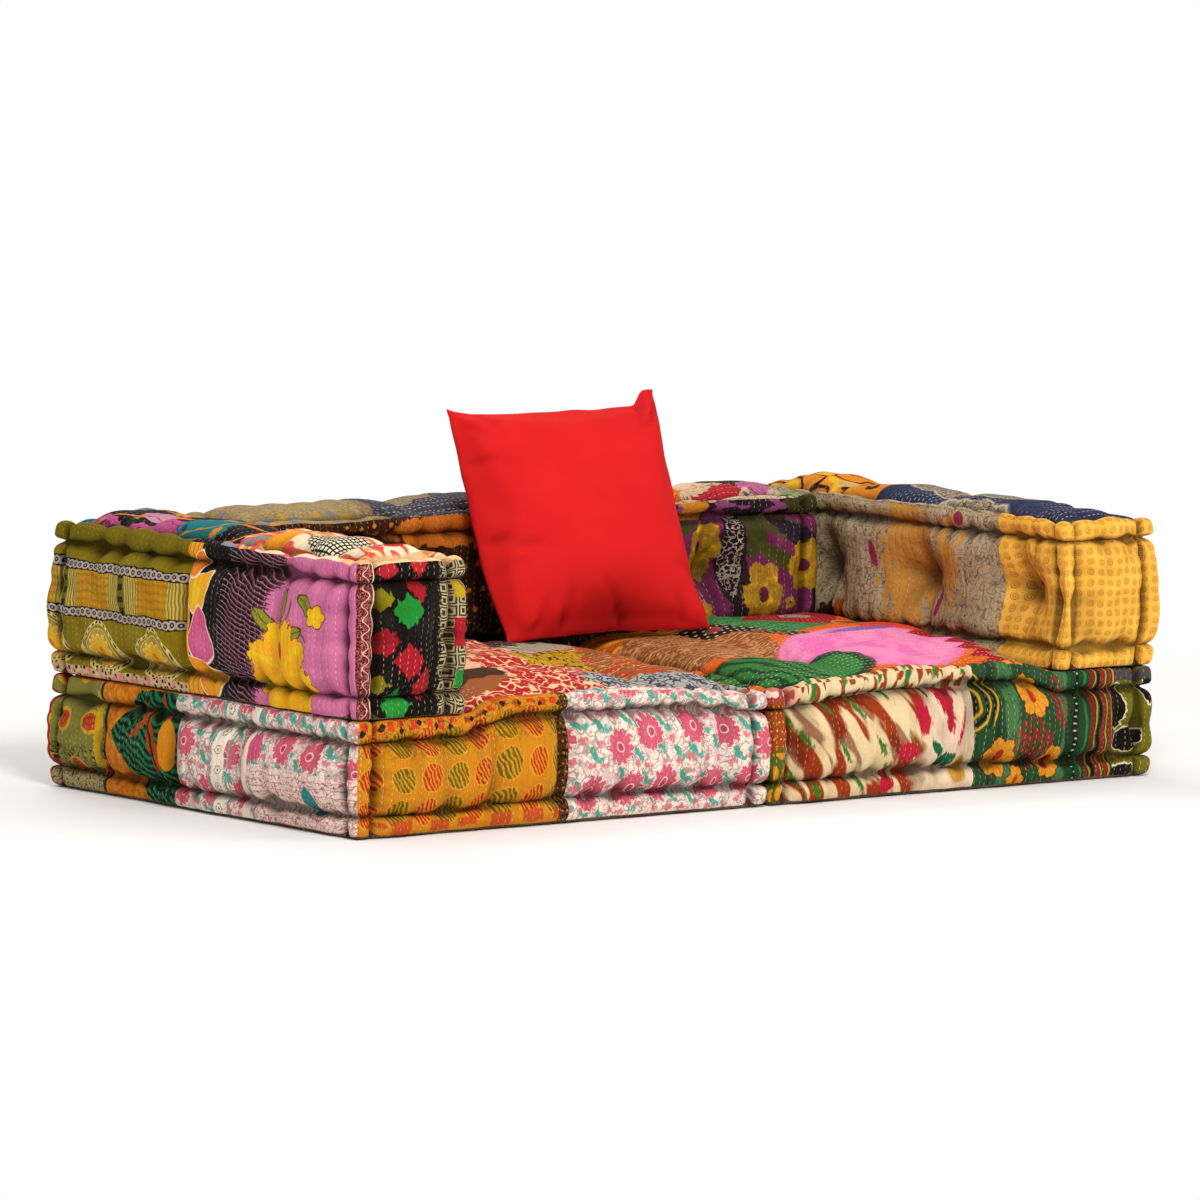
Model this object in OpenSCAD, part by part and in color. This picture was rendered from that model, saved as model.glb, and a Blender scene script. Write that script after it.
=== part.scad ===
// Modular floor cushion sofa.
// Two square base cushions lie side by side. A left arm, a right arm and a back cushion lie on
// them, and a scatter pillow leans on the back. Every quilted cushion is a filled cloth box with
// a stitched roll along each edge, swelling sides with sewn channels, and tufts tied through it.
// Millimetres, +Z up, front at -Y. The origin is on the floor under the middle of the sofa.

/* [Base cushions] */
// Width of one base cushion over its rolled edges
base_w = 800; // [740:10:900]
// Depth of the base cushions, which is the length of the arms too
base_d = 800; // [740:10:900]
// Height of a base cushion where an arm or the back presses on it
base_h = 178; // [160:1:220]
// Rise of the seat's crown above that pressed height
seat_crown = 54; // [40:1:66]
// Rise of the front edge beside the arm, where nothing presses on it
edge_rise = 24; // [12:1:32]
// Rise of the edge at the seam between the two base cushions
seam_rise = 6; // [2:1:10]
// Distance between the tufts of a base cushion
base_tuft_pitch = 400; // [380:5:420]

/* [Arm and back cushions] */
// Width of an arm over its rolled edges
arm_w = 205; // [190:1:230]
// Thickness of the back over its rolled edges
back_t = 210; // [190:1:230]
// Height of the arms
arm_h = 240; // [210:1:280]
// Height of the back
back_h = 240; // [210:1:280]
// Rise of the middle of their tops above the rolled edges
top_crown = 17; // [8:1:24]
// Distance between the tufts along an arm
arm_tuft_pitch = 245; // [220:1:260]
// Place of an arm's middle tuft, forward of the arm's middle
arm_tuft_shift = 35; // [0:1:45]
// Distance between the tufts along the back
back_tuft_pitch = 300; // [270:1:310]
// Place of the back's middle tuft, to the right of the back's middle
back_tuft_shift = 80; // [0:1:90]

/* [Quilting] */
// Diameter of the stitched roll along every edge
roll_d = 28; // [24:1:30]
// Swell of a free side beyond its rolls
side_swell = 18; // [10:1:24]
// Swell of the inner side of an arm and of the front of the back
inner_swell = 11; // [6:1:14]
// Depth of the stitched groove beside a roll
groove_in = 11; // [6:1:12]
// Depth to which a tuft is pulled in on an inner side
tuft_in = 14; // [12:1:16]

/* [Cloth and thread] */
// Thickness of the quilted cloth, which is several layers stitched together
cloth_t = 2.5; // [2:0.1:3]
// Diameter of a tuft's twine
twine_d = 4; // [3:0.5:5]
// Diameter of a tuft's knot
knot_d = 14; // [10:1:16]
// Height of a tuft's knot
knot_h = 5; // [3:0.5:5]

/* [Scatter pillow] */
// Side of the pillow from corner to corner
pillow_side = 400; // [350:5:450]
// Thickness of the plump pillow
pillow_t = 136; // [110:1:160]
// Distance by which the middle of each edge is drawn in
pillow_draw = 20; // [10:1:28]
// Thickness of the pillow's cloth
pillow_cloth_t = 1.2; // [1:0.1:2]
// Angle by which the pillow leans back
pillow_lean = 22; // [16:1:26]
// Angle by which the pillow's right side is turned forward
pillow_turn = 5; // [0:1:8]
// Angle by which the pillow's right side stands higher
pillow_tilt = 1; // [0:0.5:2]
// Place of the pillow's middle, to the right of the sofa's middle
pillow_x = 20; // [0:1:60]

/* [Fits] */
// Clearance between two cushions
body_gap = 0.3; // [0.3:0.1:1]
// Clearance between the cloth and what it holds
fill_gap = 0.4; // [0.3:0.1:1]

/* [Hidden] */
$fn = 48;

// Sides of a cushion, counterclockwise seen from above
FRONT = 0;
RIGHT = 1;
REAR = 2;
LEFT = 3;

// Shape of the rolls
roll_r = roll_d / 2;
roll_foot_in = roll_r * 0.65;
corner_in = roll_r * 0.45;
groove_z = roll_d + 1;
roll_end = roll_r + 2;
side_groove_at = roll_d + 6;
side_groove_in = groove_in * 0.7;
top_groove_at = roll_d + 3;
top_groove_in = roll_r * 0.57;
low_share = 0.3;

// Where the arms and the back press on the bases
back_face_y = base_d / 2 - back_t;
arm_face_x = base_w - arm_w;
module_x = (base_w + body_gap) / 2;
upper_z = base_h + body_gap;
back_w = 2 * (base_w - arm_w) - body_gap;
press_margin = roll_foot_in - 0.5;
crown_run = 42;
seam_run = 300;
front_run = 210;
seam_edge_run = 260;

// A tuft's knot: its flat foot is narrower than its widest place, which is a little higher
twine_r = twine_d / 2;
knot_r = knot_d / 2;
knot_foot_r = knot_r * 0.8;
knot_wide_at = 0.3;
knot_core = knot_h / 2;
tuft_hole_r = twine_r + body_gap;

// How far a knot stands off the deepest point of cloth that slopes away from it
function knot_stand(slope) = knot_r * slope + body_gap;

function mix(a, b, share) = a + (b - a) * share;

function clamp01(v) = max(0, min(1, v));

// A rise from 0 to 1 over a run, steep at first, as cloth swells away from what holds it down
function swell_up(distance, run) = sin(90 * clamp01(distance / run));

// A cushion is a list: width, depth, height, lines across, lines along, tuft places, whether its
// tufts go through its sides, swell of each side at each line, the same at mid height, and its top
function width(c) = c[0];
function depth(c) = c[1];
function height(c) = c[2];
function across(c) = c[3];
function along(c) = c[4];
function has_mid_ring(c) = c[5];
function swells(c, side) = c[6][side];
function mid_swells(c, side) = c[7][side];
function top_height(c) = c[8];

function columns_x(c) = len(across(c)) + 5;
function columns_y(c) = len(along(c)) + 5;
function columns(c, side) = side % 2 == 0 ? columns_x(c) : columns_y(c);
function loop_size(c) = 2 * (columns_x(c) + columns_y(c));

// Lines that cross a side, and the same lines where they run on over the top
function side_lines(size, inner) =
    concat([0, roll_end, side_groove_at], inner, [size - side_groove_at, size - roll_end, size]);
function top_lines(size, inner) =
    let(first = top_groove_at, second = first + roll_r * 1.4, third = first + roll_d * 1.6)
    concat([first, second, third], inner, [size - third, size - second, size - first]);

// A ring round a cushion: height, outward place, outward place at the corners, share of the
// swell, share of the mid-height swell, and how far its lines have moved to those of the top
function outer_rings(c) =
    let(h = height(c), low = h * low_share)
    concat(
        [[cloth_t, -roll_foot_in, -roll_foot_in - 2, 0, 0, 0],
         [roll_r, 0, -corner_in, 0, 0, 0],
         [groove_z, -groove_in, -corner_in - groove_in * 0.3, 0, 0, 0],
         [low, 0, -corner_in, 1, 0, 0]],
        has_mid_ring(c) ? [[h / 2, 0, -corner_in, 0, 1, 0]] : [],
        [[h - low, 0, -corner_in, 1, 0, 0],
         [h - groove_z, -groove_in, -corner_in - groove_in * 0.3, 0, 0, 0],
         [h - roll_r, 0, -corner_in, 0, 0, 0],
         [h, -roll_foot_in, -roll_foot_in - 2, 0, 0, 0]]);
function roof_ring(c) = [height(c) - 1, -top_groove_at * 0.7, -top_groove_at * 0.72, 0, 0, 0.5];
function inner_rings(c, wall) =
    let(h = height(c), low = h * low_share, edge = top_groove_at + wall - cloth_t)
    concat(
        [[wall, -edge, -edge, 0, 0, 1],
         [groove_z, -groove_in - wall, -corner_in - groove_in * 0.5 - wall, 0, 0, 0.15],
         [low, -wall, -corner_in - wall - 1.5, 1, 0, 0]],
        has_mid_ring(c) ? [[h / 2, -wall, -corner_in - wall - 1.5, 0, 1, 0]] : [],
        [[h - low, -wall, -corner_in - wall - 1.5, 1, 0, 0],
         [h - groove_z, -groove_in - wall, -corner_in - groove_in * 0.5 - wall, 0, 0, 0.15],
         [h - top_groove_in - wall, -edge, -edge, 0, 0, 1]]);

// The value of a list kept for the lines between the two grooves of a side, or none outside them
function between(list, k, count, outside) =
    k < 2 || k > count - 2 ? 0 : k == 2 || k == count - 2 ? outside : list[k - 3];

function column_place(c, side, k, blend) =
    let(
        size = side % 2 == 0 ? width(c) : depth(c),
        inner = side % 2 == 0 ? across(c) : along(c),
        n = columns(c, side),
        i = side < 2 ? k : n - k,
        place = mix(side_lines(size, inner)[i], top_lines(size, inner)[i], blend))
    side < 2 ? place : size - place;

function column_out(c, side, k, ring) =
    let(n = columns(c, side), i = side < 2 ? k : n - k)
    k == 0 || k == n ? ring[2]
        : ring[1]
            + (ring[3] > 0 ? between(swells(c, side), i, n, -side_groove_in) : 0)
            + (ring[4] > 0 ? between(mid_swells(c, side), i, n, -side_groove_in) : 0);

// A point of a side's surface, in the cushion's own frame with its middle at the origin
function side_point(c, side, k, ring) =
    let(
        n = columns(c, side),
        out = column_out(c, side, k, ring),
        size = side % 2 == 0 ? width(c) : depth(c),
        run = k == 0 ? -out : k == n ? size + out : column_place(c, side, k, ring[5]),
        w = width(c) / 2,
        d = depth(c) / 2,
        xy = side == FRONT ? [run - w, -d - out]
            : side == RIGHT ? [w + out, run - d]
            : side == REAR ? [w - run, d + out]
            : [-w - out, d - run],
        lift = top_height(c)(xy[0], xy[1], true))
    [xy[0], xy[1], ring[0] + lift * min(1, ring[0] / (height(c) - groove_z))];

function ring_loop(c, ring) = [
    for (side = [FRONT:LEFT])
        for (k = [0:columns(c, side) - 1])
            side_point(c, side, k, ring)];

// Points of the top, row by row from the front, with a groove along its edge
function top_grid(c, wall, edge_in) =
    let(
        xs = top_lines(width(c), across(c)),
        ys = top_lines(depth(c), along(c)),
        nx = columns_x(c),
        ny = columns_y(c))
    [for (j = [0:ny])
        for (i = [0:nx])
            let(
                edge = i == 0 || i == nx || j == 0 || j == ny,
                x = xs[i] - width(c) / 2 + (i == 0 ? edge_in : i == nx ? -edge_in : 0),
                y = ys[j] - depth(c) / 2 + (j == 0 ? edge_in : j == ny ? -edge_in : 0),
                z = height(c) + top_height(c)(x, y, edge) - (edge ? top_groove_in : 0))
            [x, y, z - wall]];

// The place in the grid of each point of its edge, in the order of a ring
function grid_edge(c) =
    let(nx = columns_x(c), ny = columns_y(c), row = nx + 1)
    concat(
        [for (i = [0:nx - 1]) i],
        [for (j = [0:ny - 1]) j * row + nx],
        [for (i = [nx:-1:1]) ny * row + i],
        [for (j = [ny:-1:1]) j * row]);

// Two triangles between the neighbours a, b of one line and c, d of the next
function quad(a, b, c, d) = [[a, c, b], [b, c, d]];

function flipped(faces) = [for (f = faces) [f[0], f[2], f[1]]];

// Triangles between two closed or open lines of equally many points
function band(low, high, closed) =
    let(n = len(low), last = closed ? n - 1 : n - 2)
    [for (k = [0:last])
        let(next = (k + 1) % n)
        each quad(low[k], low[next], high[k], high[next])];

function grid_faces(start, nx, ny) = [
    for (j = [0:ny - 1])
        for (i = [0:nx - 1])
            let(p = start + j * (nx + 1) + i)
            each quad(p, p + 1, p + nx + 1, p + nx + 2)];

// Triangles between two open lines whose points differ in number
function uneven_band(long, short) =
    let(
        n = len(long),
        m = len(short),
        turn = [for (j = [0:m - 2]) round((j + 0.5) * (n - 1) / (m - 1))])
    concat(
        [for (i = [0:n - 2])
            let(j = len([for (t = turn) if (t <= i) t]))
            [long[i], long[i + 1], short[j]]],
        [for (j = [0:m - 2]) [long[turn[j]], short[j + 1], short[j]]]);

function span(start, count) = [for (i = [0:count - 1]) start + i];

// One side of the cover, from corner to corner
module side_panel(c, side) {
    n = columns(c, side) + 1;
    outer = outer_rings(c);
    inner = inner_rings(c, cloth_t);
    inner_start = len(outer) * n;
    points = concat(
        [for (ring = outer) for (k = [0:n - 1]) side_point(c, side, k, ring)],
        [for (ring = inner) for (k = [0:n - 1]) side_point(c, side, k, ring)]);
    outer_faces = [for (r = [0:len(outer) - 2]) each band(span(r * n, n), span((r + 1) * n, n), false)];
    inner_faces = [
        for (r = [0:len(inner) - 2])
            let(a = inner_start + r * n)
            each flipped(band(span(a, n), span(a + n, n), false))];
    low_edge = flipped(band(span(0, n), span(inner_start, n), false));
    high_edge = band(
        span(inner_start - n, n), span(inner_start + (len(inner) - 1) * n, n), false);
    first_outer = [for (r = [0:len(outer) - 1]) r * n];
    first_inner = [for (r = [0:len(inner) - 1]) inner_start + r * n];
    last_outer = [for (v = first_outer) v + n - 1];
    last_inner = [for (v = first_inner) v + n - 1];
    faces = concat(outer_faces, inner_faces, low_edge, high_edge,
        flipped(uneven_band(first_outer, first_inner)), uneven_band(last_outer, last_inner));
    polyhedron(points, faces);
}

// The top of the cover, with the upper half of the rolls round it
module top_panel(c) {
    n = loop_size(c);
    nx = columns_x(c);
    ny = columns_y(c);
    outer = outer_rings(c);
    seam = ring_loop(c, outer[len(outer) - 1]);
    roof = ring_loop(c, roof_ring(c));
    grid = top_grid(c, 0, 0);
    lining = top_grid(c, cloth_t, 0);
    grid_start = 2 * n;
    lining_start = grid_start + len(grid);
    grid_rim = [for (p = grid_edge(c)) grid_start + p];
    lining_rim = [for (p = grid_edge(c)) lining_start + p];
    polyhedron(
        concat(seam, roof, grid, lining),
        concat(
            band(span(0, n), span(n, n), true),
            band(span(n, n), grid_rim, true),
            grid_faces(grid_start, nx, ny),
            flipped(grid_faces(lining_start, nx, ny)),
            flipped(band(span(0, n), lining_rim, true))));
}

// The flat underside of the cover
module bottom_panel(c) {
    foot = ring_loop(c, outer_rings(c)[0]);
    linear_extrude(height = cloth_t)
        polygon([for (p = foot) [p[0], p[1]]]);
}

// What the cover holds: it follows the cover's inside with a small clearance
module filling_body(c) {
    wall = cloth_t + fill_gap;
    n = loop_size(c);
    rings = inner_rings(c, wall);
    side_count = len(rings) - 1;
    loops = [for (r = [0:side_count - 1]) each ring_loop(c, rings[r])];
    grid = top_grid(c, wall, fill_gap);
    grid_start = side_count * n;
    rim = [for (p = grid_edge(c)) grid_start + p];
    foot_middle = grid_start + len(grid);
    polyhedron(
        concat(loops, grid, [[0, 0, wall]]),
        concat(
            [for (r = [0:side_count - 2]) each band(span(r * n, n), span((r + 1) * n, n), true)],
            band(span((side_count - 1) * n, n), rim, true),
            grid_faces(grid_start, columns_x(c), columns_y(c)),
            [for (k = [0:n - 1]) [k, (k + 1) % n, foot_middle]]));
}

// A knot with a rounded head, standing on the plane z = 0
module knot() {
    rotate_extrude()
        polygon([
            [0, 0], [knot_foot_r, 0], [knot_r, knot_h * knot_wide_at], [knot_r * 0.9, knot_h * 0.65],
            [knot_r * 0.55, knot_h * 0.92], [0, knot_h]]);
}

// Base cushions. The right one is the mirror image of the left one.
press_x = arm_w - press_margin;
press_y = base_d - back_t + press_margin;
base_across = [press_x, press_x + crown_run, base_w / 2, base_w / 2 + base_tuft_pitch / 2];
base_along = [base_d / 2 - base_tuft_pitch / 2, base_d / 2, press_y - crown_run, press_y];
base_tuft_x = [base_across[0], base_across[3]];
base_tuft_y = [base_along[0], base_along[3]];

// Depth of a tuft where an arm or the back covers it, and on the free seat
pressed_dimple = 20;
free_dimple = seat_crown / 2;
pressed_slope = (seat_crown + pressed_dimple) / crown_run;
free_slope = 0.35;

function is_pressed(x, y) = x < arm_w - base_w / 2 || y > back_face_y;

// Rise of a base cushion's top above its pressed height, in the left cushion's own frame
function seat_rise(x, y, at_edge) =
    let(
        from_arm = x + base_w / 2 - press_x,
        from_back = press_y - y - base_d / 2,
        from_seam = base_w / 2 - x,
        from_front = y + base_d / 2,
        free = swell_up(from_arm, crown_run) * swell_up(from_back, crown_run),
        edge = mix(seam_rise, edge_rise, swell_up(from_seam - top_groove_at, seam_edge_run)),
        middle = seat_crown * swell_up(from_front, front_run) * swell_up(from_seam, seam_run))
    free * (at_edge ? edge : max(edge, middle))
        - (at_edge ? 0 : seat_dimple(x, y));
function seat_dimple(x, y) =
    let(pressed = is_pressed(x, y))
    max([for (tx = base_tuft_x) for (ty = base_tuft_y)
        let(near = norm([x + base_w / 2 - tx, y + base_d / 2 - ty]) < 1)
        near ? (pressed ? pressed_dimple : free_dimple) : 0]);

base_outer_swell = [side_swell, -2, side_swell * 0.8, side_swell * 0.8];
base_front_swell = [side_swell * 0.8, side_swell, -2, side_swell];
base = [
    base_w, base_d, base_h, base_across, base_along, false,
    [base_front_swell, [0, 0, 0, 0], base_front_swell, base_outer_swell],
    [[], [], [], []],
    function(x, y, at_edge) seat_rise(x, y, at_edge)];

module at_base_left() {
    translate([-module_x, 0, 0]) children();
}

module at_base_right() {
    mirror([1, 0, 0]) at_base_left() children();
}

// Twine holes of a base cushion, straight down through its top and filling
module base_twine(r, low, high) {
    for (x = base_tuft_x)
        for (y = base_tuft_y)
            translate([x - base_w / 2, y - base_d / 2, low])
                cylinder(r = r, h = high - low);
}

module base_top() {
    difference() {
        top_panel(base);
        base_twine(tuft_hole_r, base_h / 2, base_h + seat_crown);
    }
}

module base_filling() {
    difference() {
        filling_body(base);
        base_twine(tuft_hole_r, 0, base_h + seat_crown);
    }
}

// One tuft: a knot on the top cloth and its twine down to the bottom cloth
module base_tuft(x, y) {
    slope = is_pressed(x, y) ? pressed_slope : free_slope;
    stand = knot_stand(slope) - (is_pressed(x, y) ? knot_h * knot_wide_at : 0);
    knot_z = base_h + seat_rise(x, y, false) + stand;
    translate([x, y, 0]) {
        translate([0, 0, cloth_t]) cylinder(r = twine_r, h = knot_z + knot_core - cloth_t);
        translate([0, 0, knot_z]) knot();
    }
}

module base_tufts() {
    for (x = base_tuft_x)
        for (y = base_tuft_y)
            base_tuft(x - base_w / 2, y - base_d / 2);
}

// Arm cushions. The left arm's inner side is its right side, and the right arm mirrors it.
arm_tufts_y = [for (i = [-1:1]) base_d / 2 - arm_tuft_shift + i * arm_tuft_pitch];
arm_along = [
    arm_tufts_y[0], (arm_tufts_y[0] + arm_tufts_y[1]) / 2, arm_tufts_y[1],
    (arm_tufts_y[1] + arm_tufts_y[2]) / 2, arm_tufts_y[2]];

// Rise of an upper cushion's top, lower where a tuft draws it down
function upper_rise(x, y, half, run, tufts, at_edge) =
    let(
        nearest = min([for (t = tufts) abs(run - t)]),
        drawn = 0.45 * (1 - clamp01(nearest / 60)))
    at_edge ? 0 : top_crown * swell_up(half - top_groove_at - abs(x), half - top_groove_at)
        * swell_up(y, 60) * (1 - drawn);

pressed_out = -6;
outer_pull = -2;
arm_outer = [outer_pull, side_swell, outer_pull, side_swell, outer_pull];
arm_inner_low = [
    (inner_swell - tuft_in) / 2, inner_swell, (inner_swell - tuft_in) / 2, inner_swell,
    pressed_out];
arm_inner_mid = [-tuft_in, inner_swell, -tuft_in, inner_swell, -tuft_in];
arm = [
    arm_w, base_d, arm_h, [arm_w / 2], arm_along, true,
    [[side_swell * 0.8], arm_inner_low, [side_swell * 0.8], arm_outer],
    [[side_swell], arm_inner_mid, [side_swell], arm_outer],
    function(x, y, at_edge) upper_rise(
        x, base_d / 2 - top_groove_at - abs(y), arm_w / 2, y + base_d / 2, arm_tufts_y, at_edge)];

module at_arm_left() {
    translate([arm_w / 2 - base_w - body_gap / 2, 0, upper_z]) children();
}

module at_arm_right() {
    mirror([1, 0, 0]) at_arm_left() children();
}

// Slopes of the cloth away from the tufts of an upper cushion, on its outer and inner sides
function outer_slope(pitch) = (side_swell - outer_pull) / (pitch / 2);
function inner_slope(pitch, low, h) =
    (inner_swell + tuft_in) / (pitch / 2) + (low + tuft_in) / (h * (0.5 - low_share));

module arm_twine(r, from, to) {
    for (y = arm_tufts_y)
        translate([from, y - base_d / 2, arm_h / 2])
            rotate([0, 90, 0])
                cylinder(r = r, h = to - from);
}

module arm_side(side) {
    difference() {
        side_panel(arm, side);
        if (side == LEFT)
            arm_twine(tuft_hole_r, -arm_w, 0);
        else
            arm_twine(tuft_hole_r, 0, arm_w);
    }
}

module arm_filling() {
    difference() {
        filling_body(arm);
        arm_twine(tuft_hole_r, -arm_w, arm_w);
    }
}

module arm_tufts() {
    outer_x = arm_w / 2 + outer_pull + knot_stand(outer_slope(arm_tuft_pitch));
    for (i = [0:2]) {
        slope = inner_slope(arm_tuft_pitch, arm_inner_low[2 * i], arm_h);
        inner_x = arm_w / 2 - tuft_in + knot_stand(slope);
        translate([0, arm_tufts_y[i] - base_d / 2, arm_h / 2])
            rotate([0, 90, 0]) {
                translate([0, 0, -outer_x - knot_core])
                    cylinder(r = twine_r, h = outer_x + inner_x + 2 * knot_core);
                translate([0, 0, inner_x]) knot();
                translate([0, 0, -outer_x]) mirror([0, 0, 1]) knot();
            }
    }
}

// Back cushion, between the arms
back_tufts_x = [for (i = [-1:1]) back_w / 2 + back_tuft_shift + i * back_tuft_pitch];
back_left_mid = (side_groove_at + back_tufts_x[0]) / 2;
back_right_mid = (back_w - side_groove_at + back_tufts_x[2]) / 2;
back_across = [
    back_left_mid, back_tufts_x[0], (back_tufts_x[0] + back_tufts_x[1]) / 2, back_tufts_x[1],
    (back_tufts_x[1] + back_tufts_x[2]) / 2, back_tufts_x[2], back_right_mid];
back_front_low = [
    for (i = [0:6]) i % 2 == 0 ? inner_swell : (inner_swell - tuft_in) / 2];
back_front_mid = [for (i = [0:6]) i % 2 == 0 ? inner_swell : -tuft_in];
back_rear_swell = [for (i = [0:6]) i % 2 == 0 ? side_swell : outer_pull];
back = [
    back_w, back_t, back_h, back_across, [back_t / 2], true,
    [back_front_low, [0], back_rear_swell, [0]],
    [back_front_mid, [0], back_rear_swell, [0]],
    function(x, y, at_edge) upper_rise(
        y, back_w / 2 - top_groove_at - abs(x), back_t / 2, x + back_w / 2, back_tufts_x, at_edge)];

module at_back() {
    translate([0, (base_d - back_t) / 2, upper_z]) children();
}

module back_twine(r, from, to) {
    for (x = back_tufts_x)
        translate([x - back_w / 2, from, back_h / 2])
            rotate([-90, 0, 0])
                cylinder(r = r, h = to - from);
}

module back_side(side) {
    difference() {
        side_panel(back, side);
        if (side == FRONT)
            back_twine(tuft_hole_r, -back_t, 0);
        else
            back_twine(tuft_hole_r, 0, back_t);
    }
}

module back_filling_body() {
    difference() {
        filling_body(back);
        back_twine(tuft_hole_r, -back_t, back_t);
    }
}

module back_tuft_set() {
    slope = inner_slope(back_tuft_pitch, (inner_swell - tuft_in) / 2, back_h);
    rear_y = back_t / 2 + outer_pull + knot_stand(outer_slope(back_tuft_pitch));
    front_y = back_t / 2 - tuft_in + knot_stand(slope);
    for (x = back_tufts_x)
        translate([x - back_w / 2, 0, back_h / 2])
            rotate([-90, 0, 0]) {
                translate([0, 0, -front_y - knot_core])
                    cylinder(r = twine_r, h = front_y + rear_y + 2 * knot_core);
                translate([0, 0, rear_y]) knot();
                translate([0, 0, -front_y]) mirror([0, 0, 1]) knot();
            }
}

// Scatter pillow, in its own frame: its middle at the origin, its front at -Y
pillow_shares = [-1, -0.95, -0.75, -0.4, 0, 0.4, 0.75, 0.95, 1];
pillow_cells = len(pillow_shares) - 1;

function pillow_outline(a, b) =
    let(half = pillow_side / 2, draw = pillow_draw / half)
    [half * a * (1 - draw * (1 - b * b)), half * b * (1 - draw * (1 - a * a))];
function pillow_swell(i, j) =
    let(
        a = pillow_shares[i],
        b = pillow_shares[j],
        flat = min(i, j, pillow_cells - i, pillow_cells - j) < 2)
    flat ? 0 : (pillow_t / 2 - pillow_cloth_t) * pow((1 - a * a) * (1 - b * b), 0.55);

// A point of the pillow's front, drawn in by some share there and by more at its corners
function pillow_point(i, j, drawn_in, lift) =
    let(
        a = pillow_shares[i],
        b = pillow_shares[j],
        place = pillow_outline(a, b) * (1 - drawn_in * (1 + 5 * pow(a * b, 2))),
        out = pillow_swell(i, j))
    [place[0], -(out > 0 ? out + lift : max(lift, 0)), place[1]];

function pillow_grid(skip, drawn_in, lift) = [
    for (j = [skip:pillow_cells - skip])
        for (i = [skip:pillow_cells - skip])
            pillow_point(i, j, drawn_in, lift)];

function square_edge(n) =
    let(row = n + 1)
    concat(
        [for (i = [0:n - 1]) i],
        [for (j = [0:n - 1]) j * row + n],
        [for (i = [n:-1:1]) n * row + i],
        [for (j = [n:-1:1]) j * row]);

// One half of the pillow's cover, sewn to the other along its flat rim
module pillow_half() {
    n = pillow_cells;
    outer = pillow_grid(0, 0, pillow_cloth_t);
    inner = pillow_grid(0, 0, 0);
    count = len(outer);
    rim = square_edge(n);
    polyhedron(
        concat(outer, inner),
        concat(
            grid_faces(0, n, n),
            flipped(grid_faces(count, n, n)),
            flipped(band(rim, [for (p = rim) p + count], true))));
}

module pillow_insert() {
    n = pillow_cells - 2;
    front = pillow_grid(1, 0.03, -fill_gap);
    thin = 0.2;
    front_points = [for (p = front) [p[0], min(p[1], -thin), p[2]]];
    rear_points = [for (p = front_points) [p[0], -p[1], p[2]]];
    count = len(front_points);
    rim = square_edge(n);
    polyhedron(
        concat(front_points, rear_points),
        concat(
            grid_faces(0, n, n),
            flipped(grid_faces(count, n, n)),
            flipped(band(rim, [for (p = rim) p + count], true))));
}

// A point of the pillow as it stands, measured from the middle of its foot
function pillow_leaned(p) =
    let(
        x = p[0] * cos(pillow_tilt) - (p[2] + pillow_side / 2) * sin(pillow_tilt),
        up = p[0] * sin(pillow_tilt) + (p[2] + pillow_side / 2) * cos(pillow_tilt),
        y = p[1] * cos(pillow_lean) + up * sin(pillow_lean),
        z = up * cos(pillow_lean) - p[1] * sin(pillow_lean))
    [x * cos(pillow_turn) + y * sin(pillow_turn), y * cos(pillow_turn) - x * sin(pillow_turn), z];

// How far the pillow's rear reaches back from its foot at some height
function pillow_reach(z) =
    max([for (i = [1:pillow_cells - 1])
        lookup(z, [for (j = [1:pillow_cells - 1])
            let(
                p = pillow_point(i, j, 0, pillow_cloth_t),
                place = pillow_leaned([p[0], -p[1], p[2]]))
            [place[2], place[1]]])]);

// How high the foot must stand for one of its corners to clear the seat
function foot_over(corner) =
    let(
        place = pillow_leaned([corner * pillow_side / 2, 0, -pillow_side / 2]),
        x = abs(pillow_x + place[0]),
        y = pillow_foot_guess_y + place[1])
    seat_rise(base_w / 2 - x, y, false) - place[2];

// The pillow stands on the crowns of the seat and leans on the back's upper edge
pillow_foot_guess_y = back_face_y - 150;
pillow_foot_z = base_h + max(foot_over(-1), foot_over(1))
    + pillow_cloth_t * sin(pillow_lean) + body_gap;
back_roll_z = upper_z + back_h - roll_r;
// The clearance is kept square to the pillow's sloping rear, so it is wider along the seat
lean_gap = body_gap * 1.5;
pillow_foot_y = back_face_y - lean_gap
    - max(
        pillow_reach(back_roll_z - pillow_foot_z),
        pillow_reach(back_roll_z + roll_r - pillow_foot_z) - roll_foot_in,
        pillow_reach(upper_z + back_h * (1 - low_share) - pillow_foot_z) + inner_swell);

module at_pillow() {
    translate([pillow_x, pillow_foot_y, pillow_foot_z])
        rotate([0, 0, -pillow_turn])
            rotate([-pillow_lean, 0, 0])
                rotate([0, -pillow_tilt, 0])
                    translate([0, 0, pillow_side / 2])
                        children();
}

// Sub-parts of the left base cushion
module base_left_top() { at_base_left() color("#a8432f") base_top(); }
module base_left_front() { at_base_left() color("#d29a2c") side_panel(base, FRONT); }
module base_left_inner_side() { at_base_left() color("#d8b8b0") side_panel(base, RIGHT); }
module base_left_rear() { at_base_left() color("#8a8a3a") side_panel(base, REAR); }
module base_left_outer_side() { at_base_left() color("#dcc6c0") side_panel(base, LEFT); }
module base_left_bottom() { at_base_left() color("#6a5a4a") bottom_panel(base); }
module base_left_filling() { at_base_left() color("#efe9dc") base_filling(); }
module base_left_tufts() { at_base_left() color("#f4efe2") base_tufts(); }

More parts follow.
